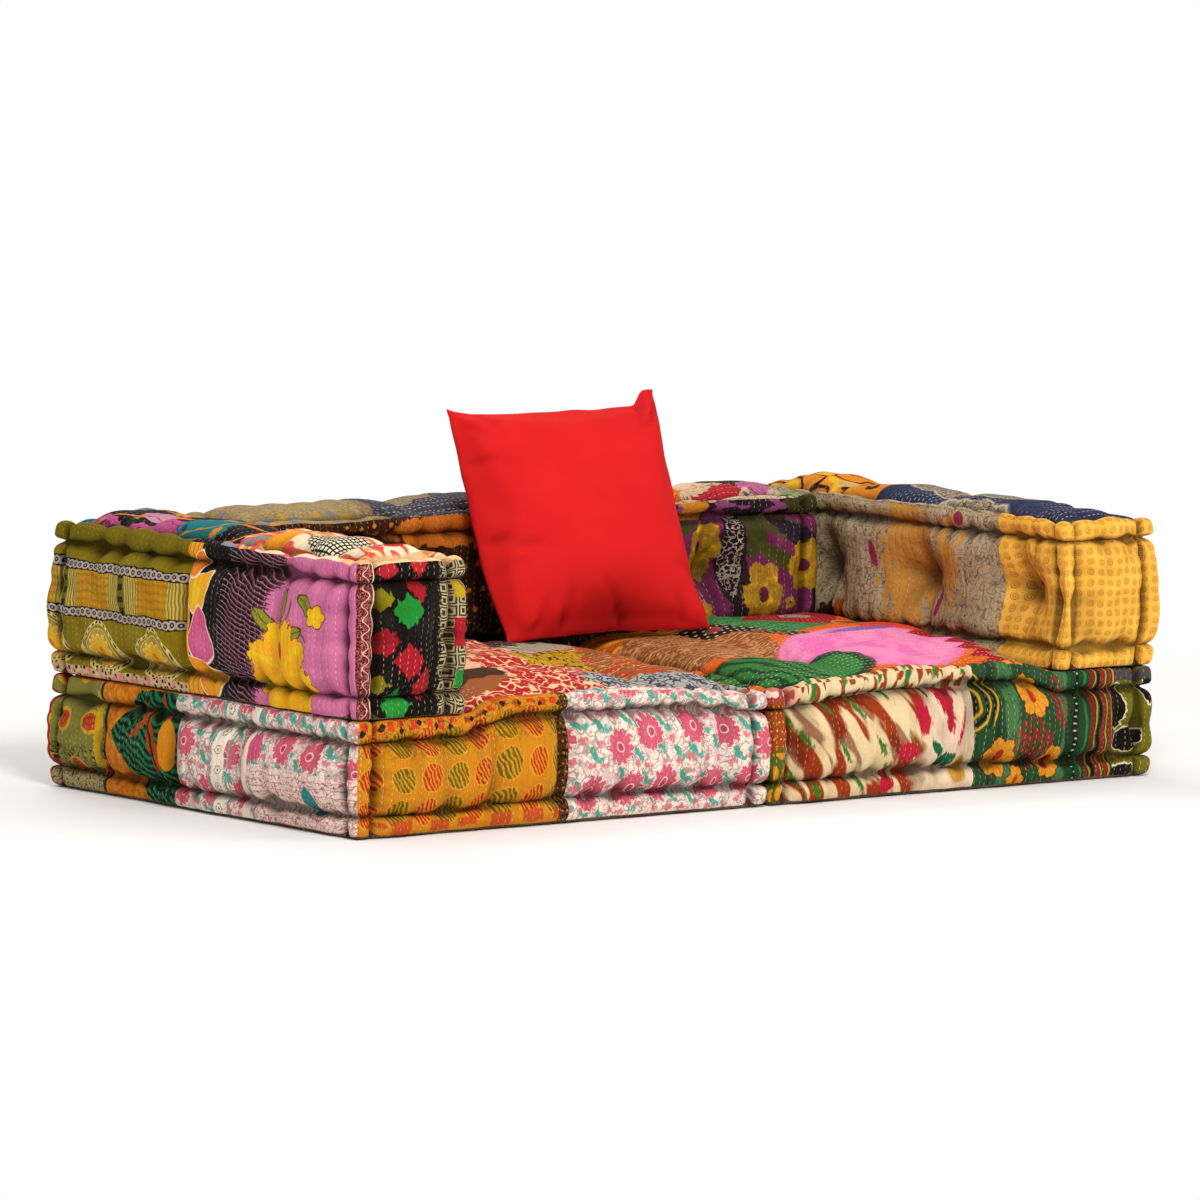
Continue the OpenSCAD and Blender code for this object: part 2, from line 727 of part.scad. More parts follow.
// Sub-parts of the right base cushion
module base_right_top() { at_base_right() color("#4a8a4a") base_top(); }
module base_right_front() { at_base_right() color("#d9c2a0") side_panel(base, FRONT); }
module base_right_inner_side() { at_base_right() color("#a8602a") side_panel(base, RIGHT); }
module base_right_rear() { at_base_right() color("#8a4a3a") side_panel(base, REAR); }
module base_right_outer_side() { at_base_right() color("#6a6a30") side_panel(base, LEFT); }
module base_right_bottom() { at_base_right() color("#6a5a4a") bottom_panel(base); }
module base_right_filling() { at_base_right() color("#efe9dc") base_filling(); }
module base_right_tufts() { at_base_right() color("#f4efe2") base_tufts(); }

// Sub-parts of the left arm
module arm_left_top() { at_arm_left() color("#e0b090") top_panel(arm); }
module arm_left_front_end() { at_arm_left() color("#2a2a2a") side_panel(arm, FRONT); }
module arm_left_inner_side() { at_arm_left() color("#7a5a3a") arm_side(RIGHT); }
module arm_left_rear_end() { at_arm_left() color("#8a8030") side_panel(arm, REAR); }
module arm_left_outer_side() { at_arm_left() color("#b08a28") arm_side(LEFT); }
module arm_left_bottom() { at_arm_left() color("#6a5a4a") bottom_panel(arm); }
module arm_left_filling() { at_arm_left() color("#efe9dc") arm_filling(); }
module arm_left_tufts() { at_arm_left() color("#f4efe2") arm_tufts(); }

// Sub-parts of the right arm
module arm_right_top() { at_arm_right() color("#3a4468") top_panel(arm); }
module arm_right_front_end() { at_arm_right() color("#e0a030") side_panel(arm, FRONT); }
module arm_right_inner_side() { at_arm_right() color("#b8a890") arm_side(RIGHT); }
module arm_right_rear_end() { at_arm_right() color("#9a6a3a") side_panel(arm, REAR); }
module arm_right_outer_side() { at_arm_right() color("#c89030") arm_side(LEFT); }
module arm_right_bottom() { at_arm_right() color("#6a5a4a") bottom_panel(arm); }
module arm_right_filling() { at_arm_right() color("#efe9dc") arm_filling(); }
module arm_right_tufts() { at_arm_right() color("#f4efe2") arm_tufts(); }

// Sub-parts of the back
module back_top() { at_back() color("#9a9080") top_panel(back); }
module back_front() { at_back() color("#7a3a78") back_side(FRONT); }
module back_right_end() { at_back() color("#5a4a6a") side_panel(back, RIGHT); }
module back_rear() { at_back() color("#8a5a40") back_side(REAR); }
module back_left_end() { at_back() color("#6a5040") side_panel(back, LEFT); }
module back_bottom() { at_back() color("#6a5a4a") bottom_panel(back); }
module back_filling() { at_back() color("#efe9dc") back_filling_body(); }
module back_tufts() { at_back() color("#f4efe2") back_tuft_set(); }

// Sub-parts of the pillow
module pillow_front() { at_pillow() color("#e8141a") pillow_half(); }
module pillow_rear() { at_pillow() color("#d01218") mirror([0, 1, 0]) pillow_half(); }
module pillow_filling() { at_pillow() color("#f4f4f0") pillow_insert(); }

base_left_top();
base_left_front();
base_left_inner_side();
base_left_rear();
base_left_outer_side();
base_left_bottom();
base_left_filling();
base_left_tufts();
base_right_top();
base_right_front();
base_right_inner_side();
base_right_rear();
base_right_outer_side();
base_right_bottom();
base_right_filling();
base_right_tufts();
arm_left_top();
arm_left_front_end();
arm_left_inner_side();
arm_left_rear_end();
arm_left_outer_side();
arm_left_bottom();
arm_left_filling();
arm_left_tufts();
arm_right_top();
arm_right_front_end();
arm_right_inner_side();
arm_right_rear_end();
arm_right_outer_side();
arm_right_bottom();
arm_right_filling();
arm_right_tufts();
back_top();
back_front();
back_right_end();
back_rear();
back_left_end();
back_bottom();
back_filling();
back_tufts();
pillow_front();
pillow_rear();
pillow_filling();
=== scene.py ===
import math

import bpy
import numpy as np
from mathutils import Matrix, Vector


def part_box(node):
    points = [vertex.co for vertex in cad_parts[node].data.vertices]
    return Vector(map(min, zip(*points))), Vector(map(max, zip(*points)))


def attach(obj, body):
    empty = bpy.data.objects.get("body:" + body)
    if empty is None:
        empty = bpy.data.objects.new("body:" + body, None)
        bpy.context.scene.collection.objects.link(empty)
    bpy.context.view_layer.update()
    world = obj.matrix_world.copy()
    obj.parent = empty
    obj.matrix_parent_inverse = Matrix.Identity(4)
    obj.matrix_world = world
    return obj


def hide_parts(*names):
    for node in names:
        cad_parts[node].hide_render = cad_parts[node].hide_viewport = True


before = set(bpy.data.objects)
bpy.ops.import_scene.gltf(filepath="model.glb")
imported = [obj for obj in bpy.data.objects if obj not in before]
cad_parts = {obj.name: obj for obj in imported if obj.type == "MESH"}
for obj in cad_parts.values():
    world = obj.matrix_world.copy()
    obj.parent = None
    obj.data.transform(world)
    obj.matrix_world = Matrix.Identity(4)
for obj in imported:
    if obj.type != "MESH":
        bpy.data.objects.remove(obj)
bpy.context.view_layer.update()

# Sizes of the cushions, as in the frame
BASE_W = 0.800
BASE_D = 0.800
BASE_H = 0.178
SEAT_CROWN = 0.054
EDGE_RISE = 0.024
SEAM_RISE = 0.006
ARM_W = 0.205
BACK_T = 0.210
UPPER_H = 0.240
TOP_CROWN = 0.017
GAP = 0.0003
HAIR = 0.0002
BACK_W = 2 * (BASE_W - ARM_W) - GAP
UPPER_Z = BASE_H + GAP
BACK_FACE = BASE_D - BACK_T
BASE_TUFT_NEAR = 0.200
BASE_TUFT_FAR = 0.600
ARM_TUFTS = [0.120, 0.365, 0.610]
BACK_TUFTS = [BACK_W / 2 + 0.080 + k * 0.300 for k in (-1, 0, 1)]

# The rolled edges, as wide on a face as twice their radius, and the groove of the seam beside them
ROLL_R = 0.0165
ROLL = 2 * ROLL_R
GROOVE = 0.021

# How far the faces swell, and how far the free sides bow out at half height
SIDE_SWELL = 0.015
INNER_SWELL = 0.012
BOW = 0.009

# How deep the tufts draw an arm's or the back's face in, and those on the seat
TUFT_IN = 0.046
SEAT_TUFT_IN = 0.017

# Wider than any face
FAR = 9.0
FRONT, RIGHT, REAR, LEFT, TOP, BOTTOM = "front", "right", "rear", "left", "top", "bottom"
AXES = "xyz"


def clamp01(v):
    return np.clip(v, 0.0, 1.0)


def ramp(value, start, run):
    """0 up to a start, 1 past a run, and an even slope in between."""
    return clamp01((value - start) / run)


def bell(distance, width, power=2):
    """1 at a distance of 0, and soon 0 past a width."""
    return np.exp(-((distance / width) ** power))


def swell_up(distance, run):
    """A rise from 0 to 1 over a run, steep at first, as cloth swells away from what holds it."""
    return np.sqrt(1 - (1 - clamp01(distance / run)) ** 2)


def sine_up(distance, run):
    """A rise from 0 to 1 over a run, gentler at first."""
    return np.sin(np.pi / 2 * clamp01(distance / run))


def lattice_value(ix, iy, iz, seed):
    """A number from 0 to 1 for each point of a lattice, the same every run."""
    h = ix * 73856093 ^ iy * 19349663 ^ iz * 83492791 ^ (seed * 2654435761 % 2**31)
    h = (h ^ (h >> 13)) * 1274126177 & 0x7FFFFFFF
    h = (h ^ (h >> 15)) * 668265263 & 0x7FFFFFFF
    return (h ^ (h >> 14)) % 65536 / 65535.0


def noise(points, scale, seed):
    """Smooth value noise from -1 to 1 at an array of points, with lumps about a scale wide."""
    p = np.asarray(points, float) / scale
    base = np.floor(p)
    f = p - base
    f = f * f * (3 - 2 * f)
    i = base.astype(np.int64)
    total = np.zeros(p.shape[:-1])
    for dx in (0, 1):
        for dy in (0, 1):
            for dz in (0, 1):
                share = (
                    (f[..., 0] if dx else 1 - f[..., 0])
                    * (f[..., 1] if dy else 1 - f[..., 1])
                    * (f[..., 2] if dz else 1 - f[..., 2])
                )
                total += share * lattice_value(i[..., 0] + dx, i[..., 1] + dy, i[..., 2] + dz, seed)
    return 2 * total - 1


def wander(run, scale, seed):
    """Noise along one direction."""
    run = np.asarray(run, float)
    zero = np.zeros_like(run)
    return noise(np.stack([run, zero, zero], axis=-1), scale, seed)


# The mesh lines: how wide a cell is, how many lines a roll has and its first and last angle,
# and how far past the seam the first line of the panel lies
CELL = 0.0085
ROLL_LINES = 9
ROLL_START = 135
ROLL_END = -12
PAST_SEAM = 0.003

# Over what length the groove beside a seam and the rounding of a corner die out, and where past
# the roll the line of painted shade in the groove lies and how wide it is
GROOVE_RUN = 0.030
CORNER_RUN = 0.045
DARK_LINE_AT = 0.001
DARK_LINE_WIDE = 0.006


class Line:
    """The places of the mesh lines across one direction of a cushion: roll, panel, roll."""

    def __init__(self, size):
        angles = np.radians(np.linspace(ROLL_START, ROLL_END, ROLL_LINES))
        roll_at = ROLL_R + ROLL_R * np.cos(angles)
        roll_in = ROLL_R - ROLL_R * np.sin(angles)
        inner = size - 2 * ROLL
        count = int(round(inner / CELL))
        even = ROLL + inner * np.arange(1, count) / count
        near = ROLL + PAST_SEAM
        even = np.concatenate([[near], even, [size - near]])
        self.size = size
        self.at = np.concatenate([roll_at, even, (size - roll_at)[::-1]])
        self.edge = np.minimum(self.at, size - self.at)
        past_seam = np.minimum(even, size - even) - ROLL
        panel_in = GROOVE * (1 - swell_up(past_seam, GROOVE_RUN))
        self.inset = np.concatenate([roll_in, panel_in, roll_in[::-1]])
        self.corner = clamp01(1 - (self.edge - roll_at[0]) / CORNER_RUN) ** 2
        # The painted shade along the line in the groove beside each seam
        self.painted_shade = bell(self.edge - ROLL - DARK_LINE_AT, DARK_LINE_WIDE)
        self.count = len(self.at)


def joined(a, b):
    """The deeper of two insets, rounded where they are alike."""
    return (a**4 + b**4) ** 0.25


def on_grid(share_a, share_b):
    """The product of a share for each line one way and a share for each line the other way."""
    return share_a[:, None] * share_b[None, :]


# The pinches along a seam: how far apart they are and how many pitches they stray, over what length
PINCH_PITCH = 0.054
PINCH_STRAY = 1.5
PINCH_STRAY_RUN = 0.13

# How deep the pinches are and how much they differ, over what length, what share of that they have
# at the outer edge of a roll and gain up to its seam, how far they run into the face, and how close
# they come to a corner
PINCH_DEPTH = 0.0098
PINCH_SPREAD = 0.0062
PINCH_SPREAD_RUN = 0.07
PINCH_AT_EDGE = 0.28
PINCH_GAIN = 0.42
PINCH_RUN = 0.036
PINCH_FREE = 0.030

# The folds down the sides: how far apart they are and how many pitches they stray, over what
# length, and how deep they are and how much they differ, over what length
FOLD_PITCH = 0.070
FOLD_STRAY = 1.9
FOLD_STRAY_RUN = 0.17
FOLD_DEPTH = 0.0036
FOLD_SPREAD = 0.0040
FOLD_SPREAD_RUN = 0.10

# The lumps of the stuffing: how high and how wide, from the large ones to the small ones
LUMPS = ((0.0048, 0.095), (0.0022, 0.040), (0.0009, 0.019))

# Over what length a face swells up from its seams, along it and up it
SWELL_RUN_A = 0.075
SWELL_RUN_B = 0.045

# Where the open part of a face starts, and over what length, along it and up it
OPEN_START = 0.028
OPEN_RUN_A = 0.05
OPEN_RUN_B = 0.03

# Half the width of a sewn channel, and over what length it starts past a seam
CHANNEL_HALF = 0.017
CHANNEL_START = 0.02

# A tuft's pit, the wider hollow round it with its share of the depth, and the rays of cloth drawn
# into it: their number, their depth, how far they start from the tuft and how long they are
TUFT_PIT = 0.034
TUFT_HOLLOW = 0.095
HOLLOW_SHARE = 0.6
TUFT_RAYS = 7
RAY_DEPTH = 0.0060
RAY_AT = 0.03
RAY_REACH = 0.035

# How far in from a side its bow reaches, its share of the bow and how much that differs, over
# what length
BOW_REACH = 0.09
BOW_SHARE = 0.85
BOW_SPREAD = 0.35
BOW_SPREAD_RUN = 0.25

# Close to what a cushion lies on, its cloth moves up and down by only this share, from this height
# on and over this run
HELD_SHARE = 0.15
HELD_START = 0.004
HELD_RUN = 0.030

# How dark the painted shade in the folds gets: in the groove, for a draw deep enough to be
# black, and in a tuft's pit and a channel, with the width of their painted shade
GROOVE_DARK = 0.85
BLACK_DRAW = 0.019
PIT_DARK = 0.9
PIT_DARK_WIDE = 0.020
CHANNEL_DARK = 45
CHANNEL_DARK_WIDE = 0.007


def pinches(run, seed):
    """0 at each pinch along a seam and 1 between two."""
    phase = run / PINCH_PITCH + PINCH_STRAY * wander(run, PINCH_STRAY_RUN, seed) + 0.37 * seed
    return abs(np.sin(np.pi * phase)) ** 0.7


def seam_pucker(along, length, from_edge, seed):
    """How far the cloth is drawn in by the pinches of one edge's seam."""
    on_roll = PINCH_AT_EDGE + PINCH_GAIN * clamp01(from_edge / ROLL)
    on_panel = np.exp(-(from_edge - ROLL) / PINCH_RUN)
    profile = np.where(from_edge < ROLL, on_roll, on_panel)
    fade = ramp(np.minimum(along, length - along), PINCH_FREE, PINCH_FREE)
    depth = PINCH_DEPTH + PINCH_SPREAD * wander(along, PINCH_SPREAD_RUN, seed + 50)
    return depth * (1 - pinches(along, seed)) * profile * fade


# For each face: the directions of its mesh lines, the direction that it faces, whether it lies at
# the far end of that one, and the cushion's edges at the low and high end of each mesh direction
FACES = {
    FRONT: ("x", "z", "y", False, (0, 1), (2, 3)),
    REAR: ("x", "z", "y", True, (4, 5), (6, 7)),
    LEFT: ("y", "z", "x", False, (0, 4), (8, 9)),
    RIGHT: ("y", "z", "x", True, (1, 5), (10, 11)),
    BOTTOM: ("x", "y", "z", False, (8, 10), (2, 6)),
    TOP: ("x", "y", "z", True, (9, 11), (3, 7)),
}


class Cushion:
    """A quilted cushion in its own frame: its lowest corner is at the origin."""

    def __init__(self, body, size, corner, seed):
        self.body = body
        self.size = size
        self.corner = Vector(corner)
        self.seed = seed
        self.swell = {FRONT: SIDE_SWELL, REAR: SIDE_SWELL, LEFT: SIDE_SWELL, RIGHT: SIDE_SWELL}
        self.bow = {FRONT: BOW, REAR: BOW, LEFT: BOW, RIGHT: BOW}
        self.channels = {face: [] for face in FACES}
        self.tufts = {face: [] for face in FACES}
        self.patches = {face: [] for face in FACES}
        self.edge_lift = lambda x, y: np.zeros_like(x)
        self.top_rise = lambda x, y: np.zeros_like(x)
        self.limit = lambda points: points
        self.held = lambda points: points[:, 2]

    def tuft_places(self, face):
        """The places of a face's tufts in the sofa's frame, before the cloth is drawn in."""
        da, db, dn, far, _, _ = FACES[face]
        size_n = self.size[AXES.index(dn)]
        places = []
        for a, b, deep in self.tufts[face]:
            at = {da: a, db: b, dn: size_n - deep if far else deep}
            spot = np.array([[at["x"], at["y"], at["z"]]])
            places.append((self.lift(face, spot) + np.array(self.corner))[0])
        return places

    def panel_depth(self, face, a, b, line_a, line_b):
        """How far the face lies inside its bounding plane, channels and tufts included."""
        swell = self.swell.get(face, 0.0)
        past_a = line_a.edge - ROLL
        past_b = line_b.edge - ROLL
        out = swell * on_grid(swell_up(past_a, SWELL_RUN_A), swell_up(past_b, SWELL_RUN_B))
        depth = joined(line_a.inset[:, None], line_b.inset[None, :]) - out
        panel = on_grid(swell_up(past_a, CHANNEL_START), swell_up(past_b, CHANNEL_START))
        for place, deep in self.channels[face]:
            depth = depth + panel * (deep + out) * bell(abs(a - place), CHANNEL_HALF, 1.3)
        for ta, tb, deep in self.tufts[face]:
            r = np.hypot(a - ta, b - tb)
            depth = depth + deep * bell(r, TUFT_PIT, 1.2) + HOLLOW_SHARE * deep * bell(r, TUFT_HOLLOW)
        return depth

    def drawn_in(self, face, points, a, b, line_a, line_b, open_panel):
        """How far the cloth of a face is drawn in by its pinches, its folds and its tufts' rays."""
        draw = np.zeros_like(a)
        ways = ((a, line_a, b, line_b, FACES[face][4]), (b, line_b, a, line_a, FACES[face][5]))
        for across, line, along, other, edges in ways:
            for from_edge, edge in zip((across, line.size - across), edges):
                draw += seam_pucker(along, other.size, from_edge, self.seed + 7 * edge)
        if face not in (TOP, BOTTOM):
            phase = a / FOLD_PITCH + FOLD_STRAY * noise(points, FOLD_STRAY_RUN, self.seed + 3)
            deep_fold = FOLD_DEPTH + FOLD_SPREAD * noise(points, FOLD_SPREAD_RUN, self.seed + 5)
            draw += deep_fold * (1 - abs(np.sin(np.pi * phase)) ** 0.55) * open_panel
        for ta, tb, _ in self.tufts[face]:
            turn = np.arctan2(b - tb, a - ta)
            rays = 0.5 + 0.5 * np.sin(turn * TUFT_RAYS + 3 * wander(turn, 1.3, self.seed))
            draw += RAY_DEPTH * rays * bell(np.hypot(a - ta, b - tb) - RAY_AT, RAY_REACH)
        return draw

    def painted_shade_at(self, face, draw, a, b, line_a, line_b, open_panel):
        """How dark the painted shade is at each place: in the grooves, the folds, the tufts' pits and the
        channels.
        """
        in_groove = np.maximum(line_a.painted_shade[:, None], line_b.painted_shade[None, :])
        dark = in_groove * GROOVE_DARK + draw / BLACK_DRAW
        for ta, tb, _ in self.tufts[face]:
            dark = dark + PIT_DARK * bell(np.hypot(a - ta, b - tb), PIT_DARK_WIDE)
        for place, deep in self.channels[face]:
            line = bell(abs(a - place), CHANNEL_DARK_WIDE)
            dark = dark + deep * CHANNEL_DARK * line * open_panel
        return clamp01(dark)

    def face_points(self, face, lines):
        """A face's points as a grid, how far each is drawn in, its place on the cloth and its painted
        shade.
        """
        da, db, dn, far, _, _ = FACES[face]
        la, lb = lines[da], lines[db]
        a = np.repeat(la.at[:, None], lb.count, 1)
        b = np.repeat(lb.at[None, :], la.count, 0)
        if face == BOTTOM:
            flat_a, flat_b = (np.where(line.edge < ROLL_R, line.inset, 0) for line in (la, lb))
            both = depth = joined(flat_a[:, None], flat_b[None, :])
        else:
            both = joined(la.inset[:, None], lb.inset[None, :])
            depth = self.panel_depth(face, a, b, la, lb)
        extra_a = (both - la.inset[:, None]) * la.corner[:, None]
        extra_b = (both - lb.inset[None, :]) * lb.corner[None, :]
        size_n = self.size[AXES.index(dn)]
        grid = {
            da: a + np.where(a < la.size / 2, extra_a, -extra_a),
            db: b + np.where(b < lb.size / 2, extra_b, -extra_b),
            dn: size_n - depth if far else depth,
        }
        points = np.stack([grid["x"], grid["y"], grid["z"]], axis=-1)
        open_panel = on_grid(
            ramp(la.edge, OPEN_START, OPEN_RUN_A),
            ramp(lb.edge, OPEN_START, OPEN_RUN_B))
        draw = self.drawn_in(face, points, a, b, la, lb, open_panel)
        lumps = sum(high * noise(points, wide, self.seed + k) for k, (high, wide) in enumerate(LUMPS))
        if face == BOTTOM:
            draw = draw * on_grid(la.edge <= ROLL_R, lb.edge <= ROLL_R)
            lumps = lumps * 0
        return points, draw - lumps, a, b, self.painted_shade_at(face, draw, a, b, la, lb, open_panel)

    def bowed(self, p):
        """The free sides bow out at half height, as the stuffing presses on them."""
        wide, deep, high = self.size
        uneven = BOW_SHARE + BOW_SPREAD * noise(p, BOW_SPREAD_RUN, self.seed + 9)
        share = np.sin(np.pi * clamp01(p[:, 2] / high)) * uneven
        x, y = p[:, 0].copy(), p[:, 1].copy()
        for face, axis, outward, from_side in (
            (LEFT, 0, -1, x), (RIGHT, 0, 1, wide - x), (FRONT, 1, -1, y), (REAR, 1, 1, deep - y),
        ):
            p[:, axis] += outward * self.bow[face] * share * clamp01(1 - from_side / BOW_REACH)
        return p

    def lattice_ids(self, face, lines):
        """A number for each point of a face, the same on both faces that share an edge."""
        da, db, dn, far, _, _ = FACES[face]
        n = {axis: lines[axis].count for axis in AXES}
        ia, ib = np.meshgrid(np.arange(n[da]), np.arange(n[db]), indexing="ij")
        index = {da: ia, db: ib, dn: np.full_like(ia, n[dn] - 1 if far else 0)}
        return index["x"] + n["x"] * (index["y"] + n["y"] * index["z"])

    def lift(self, face, points):
        """Raises the sides to their top edge and the top to its crown."""
        x, y, z = points[..., 0], points[..., 1], points[..., 2]
        edge = self.edge_lift(x, y)
        if face == TOP:
            lifted = z + np.maximum(self.top_rise(x, y), 0) + edge
        else:
            lifted = z + edge * np.minimum(1, z / (self.size[2] - ROLL))
        return np.stack([x, y, lifted], axis=-1)

    def cloth_slots(self, face, u, v, names):
        """For each cell of a face the number of its print. New prints join the names."""
        middle_u, middle_v = ((way[:-1, :-1] + way[1:, 1:]) / 2 for way in (u, v))
        slot = np.zeros(middle_u.shape, int)
        for u0, u1, v0, v1, name in self.patches[face]:
            if name not in names:
                names.append(name)
            inside = (middle_u > u0) & (middle_u < u1) & (middle_v > v0) & (middle_v < v1)
            slot[inside] = names.index(name)
        return slot.ravel()

    def build(self, prints):
        """The cover of the cushion as one mesh, in the sofa's frame, with its prints."""
        lines = {axis: Line(size) for axis, size in zip(AXES, self.size)}
        names = []
        ids, points, draws, painted_darks, quads, uvs, slots = [], [], [], [], [], [], []
        for face, (da, _, _, far, _, _) in FACES.items():
            grid, draw, a, b, dark = self.face_points(face, lines)
            code = self.lattice_ids(face, lines)
            outward = far if face in (TOP, BOTTOM, LEFT, RIGHT) else not far
            order = (0, 1, 2, 3) if outward else (0, 3, 2, 1)
            u = a if face in (FRONT, RIGHT, TOP, BOTTOM) else self.size[AXES.index(da)] - a
            ids.append(code.ravel())
            points.append(self.lift(face, grid).reshape(-1, 3))
            draws.append(draw.ravel())
            painted_darks.append(dark.ravel())
            quads.append(quad_corners(code[..., None], order)[..., 0])
            uvs.append(quad_corners(np.stack([u, b], axis=-1), order))
            slots.append(self.cloth_slots(face, u, b, names))
        unique, first = np.unique(np.concatenate(ids), return_index=True)
        places = np.concatenate(points)[first]
        faces = np.searchsorted(unique, np.concatenate(quads))
        normals = vertex_normals(places, faces)
        free = ramp(self.held(places), HELD_START, HELD_RUN)
        normals[:, 2] *= HELD_SHARE + (1 - HELD_SHARE) * free
        places = places - normals * np.concatenate(draws)[first][:, None]
        places = self.limit(self.bowed(places)) + np.array(self.corner)
        piece = mesh_piece(f"{self.body}_cover", places, faces, np.concatenate(uvs))
        for name in names:
            piece.data.materials.append(prints[name])
        piece.data.polygons.foreach_set("material_index", np.concatenate(slots).astype(np.int32))
        # Painted shade of the grooves, folds, tufts' pits and channels, which the cloths darken by
        set_painted_shade(piece, np.concatenate(painted_darks)[first])
        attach(piece, self.body)
        return piece


def quad_corners(grid, order):
    """The values at the four corners of each cell of a grid, going round in an order."""
    corner = (grid[:-1, :-1], grid[1:, :-1], grid[1:, 1:], grid[:-1, 1:])
    return np.stack([corner[k].reshape(-1, grid.shape[-1]) for k in order], axis=1)


def vertex_normals(places, faces):
    p = places[faces]
    face_normal = np.cross(p[:, 2] - p[:, 0], p[:, 3] - p[:, 1])
    total = np.zeros_like(places)
    for k in range(4):
        np.add.at(total, faces[:, k], face_normal)
    return total / np.maximum(np.linalg.norm(total, axis=1, keepdims=True), 1e-12)


def mesh_piece(name, places, faces, uv=None):
    """A smooth mesh object, with places on the cloth for its face corners if they are given."""
    mesh = bpy.data.meshes.new(name)
    mesh.from_pydata(places.tolist(), [], faces.tolist())
    if uv is not None:
        layer = mesh.uv_layers.new(name="cloth")
        layer.data.foreach_set("uv", uv.astype(np.float32).ravel())
    mesh.polygons.foreach_set("use_smooth", np.ones(len(mesh.polygons), bool))
    mesh.update()
    piece = bpy.data.objects.new(name, mesh)
    bpy.context.scene.collection.objects.link(piece)
    return piece


def set_painted_shade(piece, dark):
    """Keeps the painted shade of each point's fold where the cloths' materials read it."""
    painted_shade = piece.data.attributes.new("painted_shade", "FLOAT", "POINT")
    painted_shade.data.foreach_set("value", dark.astype(np.float32))


def smooth_piece(piece):
    smooth = piece.modifiers.new("smooth", "SUBSURF")
    smooth.levels = 1
    smooth.render_levels = 1


# A seat stays flat this far past an arm and the back, and rises over these lengths beside them
PRESSED_PAST = 0.001
FREE_OF_ARM = 0.100
FREE_OF_BACK = 0.070

# Over what length a seat's crown rises from the front and from the joint of the two bases, with
# a shoulder of this share of its height close to the joint, and its edge rises from the joint
CROWN_FROM_FRONT = 0.21
CROWN_FROM_JOINT = 0.30
SHOULDER_SHARE = 0.72
SHOULDER_RUN = 0.10
EDGE_FROM_JOINT = 0.26

# How deep and wide the seat sinks along its two lines of tufts, and how far in that starts
SEAT_VALLEY = 0.011
VALLEY_HALF = 0.024
VALLEY_START = 0.04
VALLEY_RUN = 0.05

# Where the crowns of the arms and the back start and over what length they rise, and how far they
# sink above a tuft and over what width
CROWN_START = 0.031
CROWN_RUN = 0.060
CROWN_SINK = 0.6
SINK_HALF = 0.03

# How deep the channels between the tufts of an arm and the back are
TUFT_CHANNEL = 0.003

# From how far in front of the back an arm keeps clear of its end
CLEAR_FROM = 0.012


def squashed(from_contact):
    """Flattens a roll where it lies against another cushion."""
    near = np.clip(from_contact / ROLL_R, 0, 1)
    return np.where(from_contact < ROLL_R, ROLL_R * near**1.8, from_contact)


def seat_shape(arm_at_right):
    """The height functions of a base cushion: pressed flat under its arm and the back."""

    def from_arm_side(x):
        return BASE_W - x if arm_at_right else x

    def free_share(x, y):
        beside_arm = sine_up(from_arm_side(x) - ARM_W - PRESSED_PAST, FREE_OF_ARM)
        return beside_arm * sine_up(BACK_FACE - PRESSED_PAST - y, FREE_OF_BACK)

    def edge_lift(x, y):
        along = sine_up(BASE_W - from_arm_side(x) - CROWN_START, EDGE_FROM_JOINT)
        return free_share(x, y) * (SEAM_RISE + (EDGE_RISE - SEAM_RISE) * along)

    def top_rise(x, y):
        run = from_arm_side(x)
        free = free_share(x, y)
        from_joint = BASE_W - run
        shoulder = SHOULDER_SHARE * sine_up(from_joint, SHOULDER_RUN)
        to_joint = np.maximum(sine_up(from_joint, CROWN_FROM_JOINT), shoulder)
        crown = SEAT_CROWN * sine_up(y, CROWN_FROM_FRONT) * to_joint
        valley = SEAT_VALLEY * bell(run - BASE_TUFT_FAR, VALLEY_HALF)
        valley = valley + SEAT_VALLEY * bell(y - BASE_TUFT_NEAR, VALLEY_HALF)
        inside = ramp(np.minimum(y, from_joint), VALLEY_START, VALLEY_RUN)
        return np.maximum(free * crown - edge_lift(x, y), 0) - free * inside * valley

    return edge_lift, top_rise


def base_cushion(side, seed):
    at_right = side == "right"
    x0 = GAP / 2 if at_right else -BASE_W - GAP / 2
    c = Cushion(f"base_{side}", (BASE_W, BASE_D, BASE_H), (x0, -BASE_D / 2, 0), seed)
    c.edge_lift, c.top_rise = seat_shape(at_right)

    def under_upper(p):
        run = BASE_W - p[:, 0] if at_right else p[:, 0]
        return (run < ARM_W) | (p[:, 1] > BACK_FACE)

    def limit(p):
        """Keeps the base clear of what lies on it and of the other base."""
        below = np.maximum(BASE_H - p[:, 2], 0)
        p[:, 2] = np.where(under_upper(p), BASE_H - HAIR - squashed(below), p[:, 2])
        p[:, 2] = np.maximum(p[:, 2], 0)
        p[:, 0] = np.maximum(p[:, 0], HAIR) if at_right else np.minimum(p[:, 0], BASE_W - HAIR)
        return p

    def held(p):
        return np.where(under_upper(p), np.minimum(p[:, 2], BASE_H - p[:, 2]), p[:, 2])

    c.limit = limit
    c.held = held
    tuft_x = BASE_W - BASE_TUFT_FAR if at_right else BASE_TUFT_FAR
    c.tufts[TOP] = [(tuft_x, BASE_TUFT_NEAR, SEAT_TUFT_IN)]
    inner = LEFT if at_right else RIGHT
    c.swell[inner] = 0.0
    c.bow[inner] = 0.0
    return c


def upper_crown(along, length, across, width, tufts):
    """The crown of an arm's or the back's top. It sinks above each tuft and towards the ends."""
    from_side = np.minimum(across, width - across) - CROWN_START
    from_end = np.minimum(along, length - along) - CROWN_START
    sunk = 1 - CROWN_SINK * sum(bell(along - t, SINK_HALF) for t in tufts)
    return TOP_CROWN * swell_up(from_side, CROWN_RUN) * sunk * sine_up(from_end, CROWN_RUN)


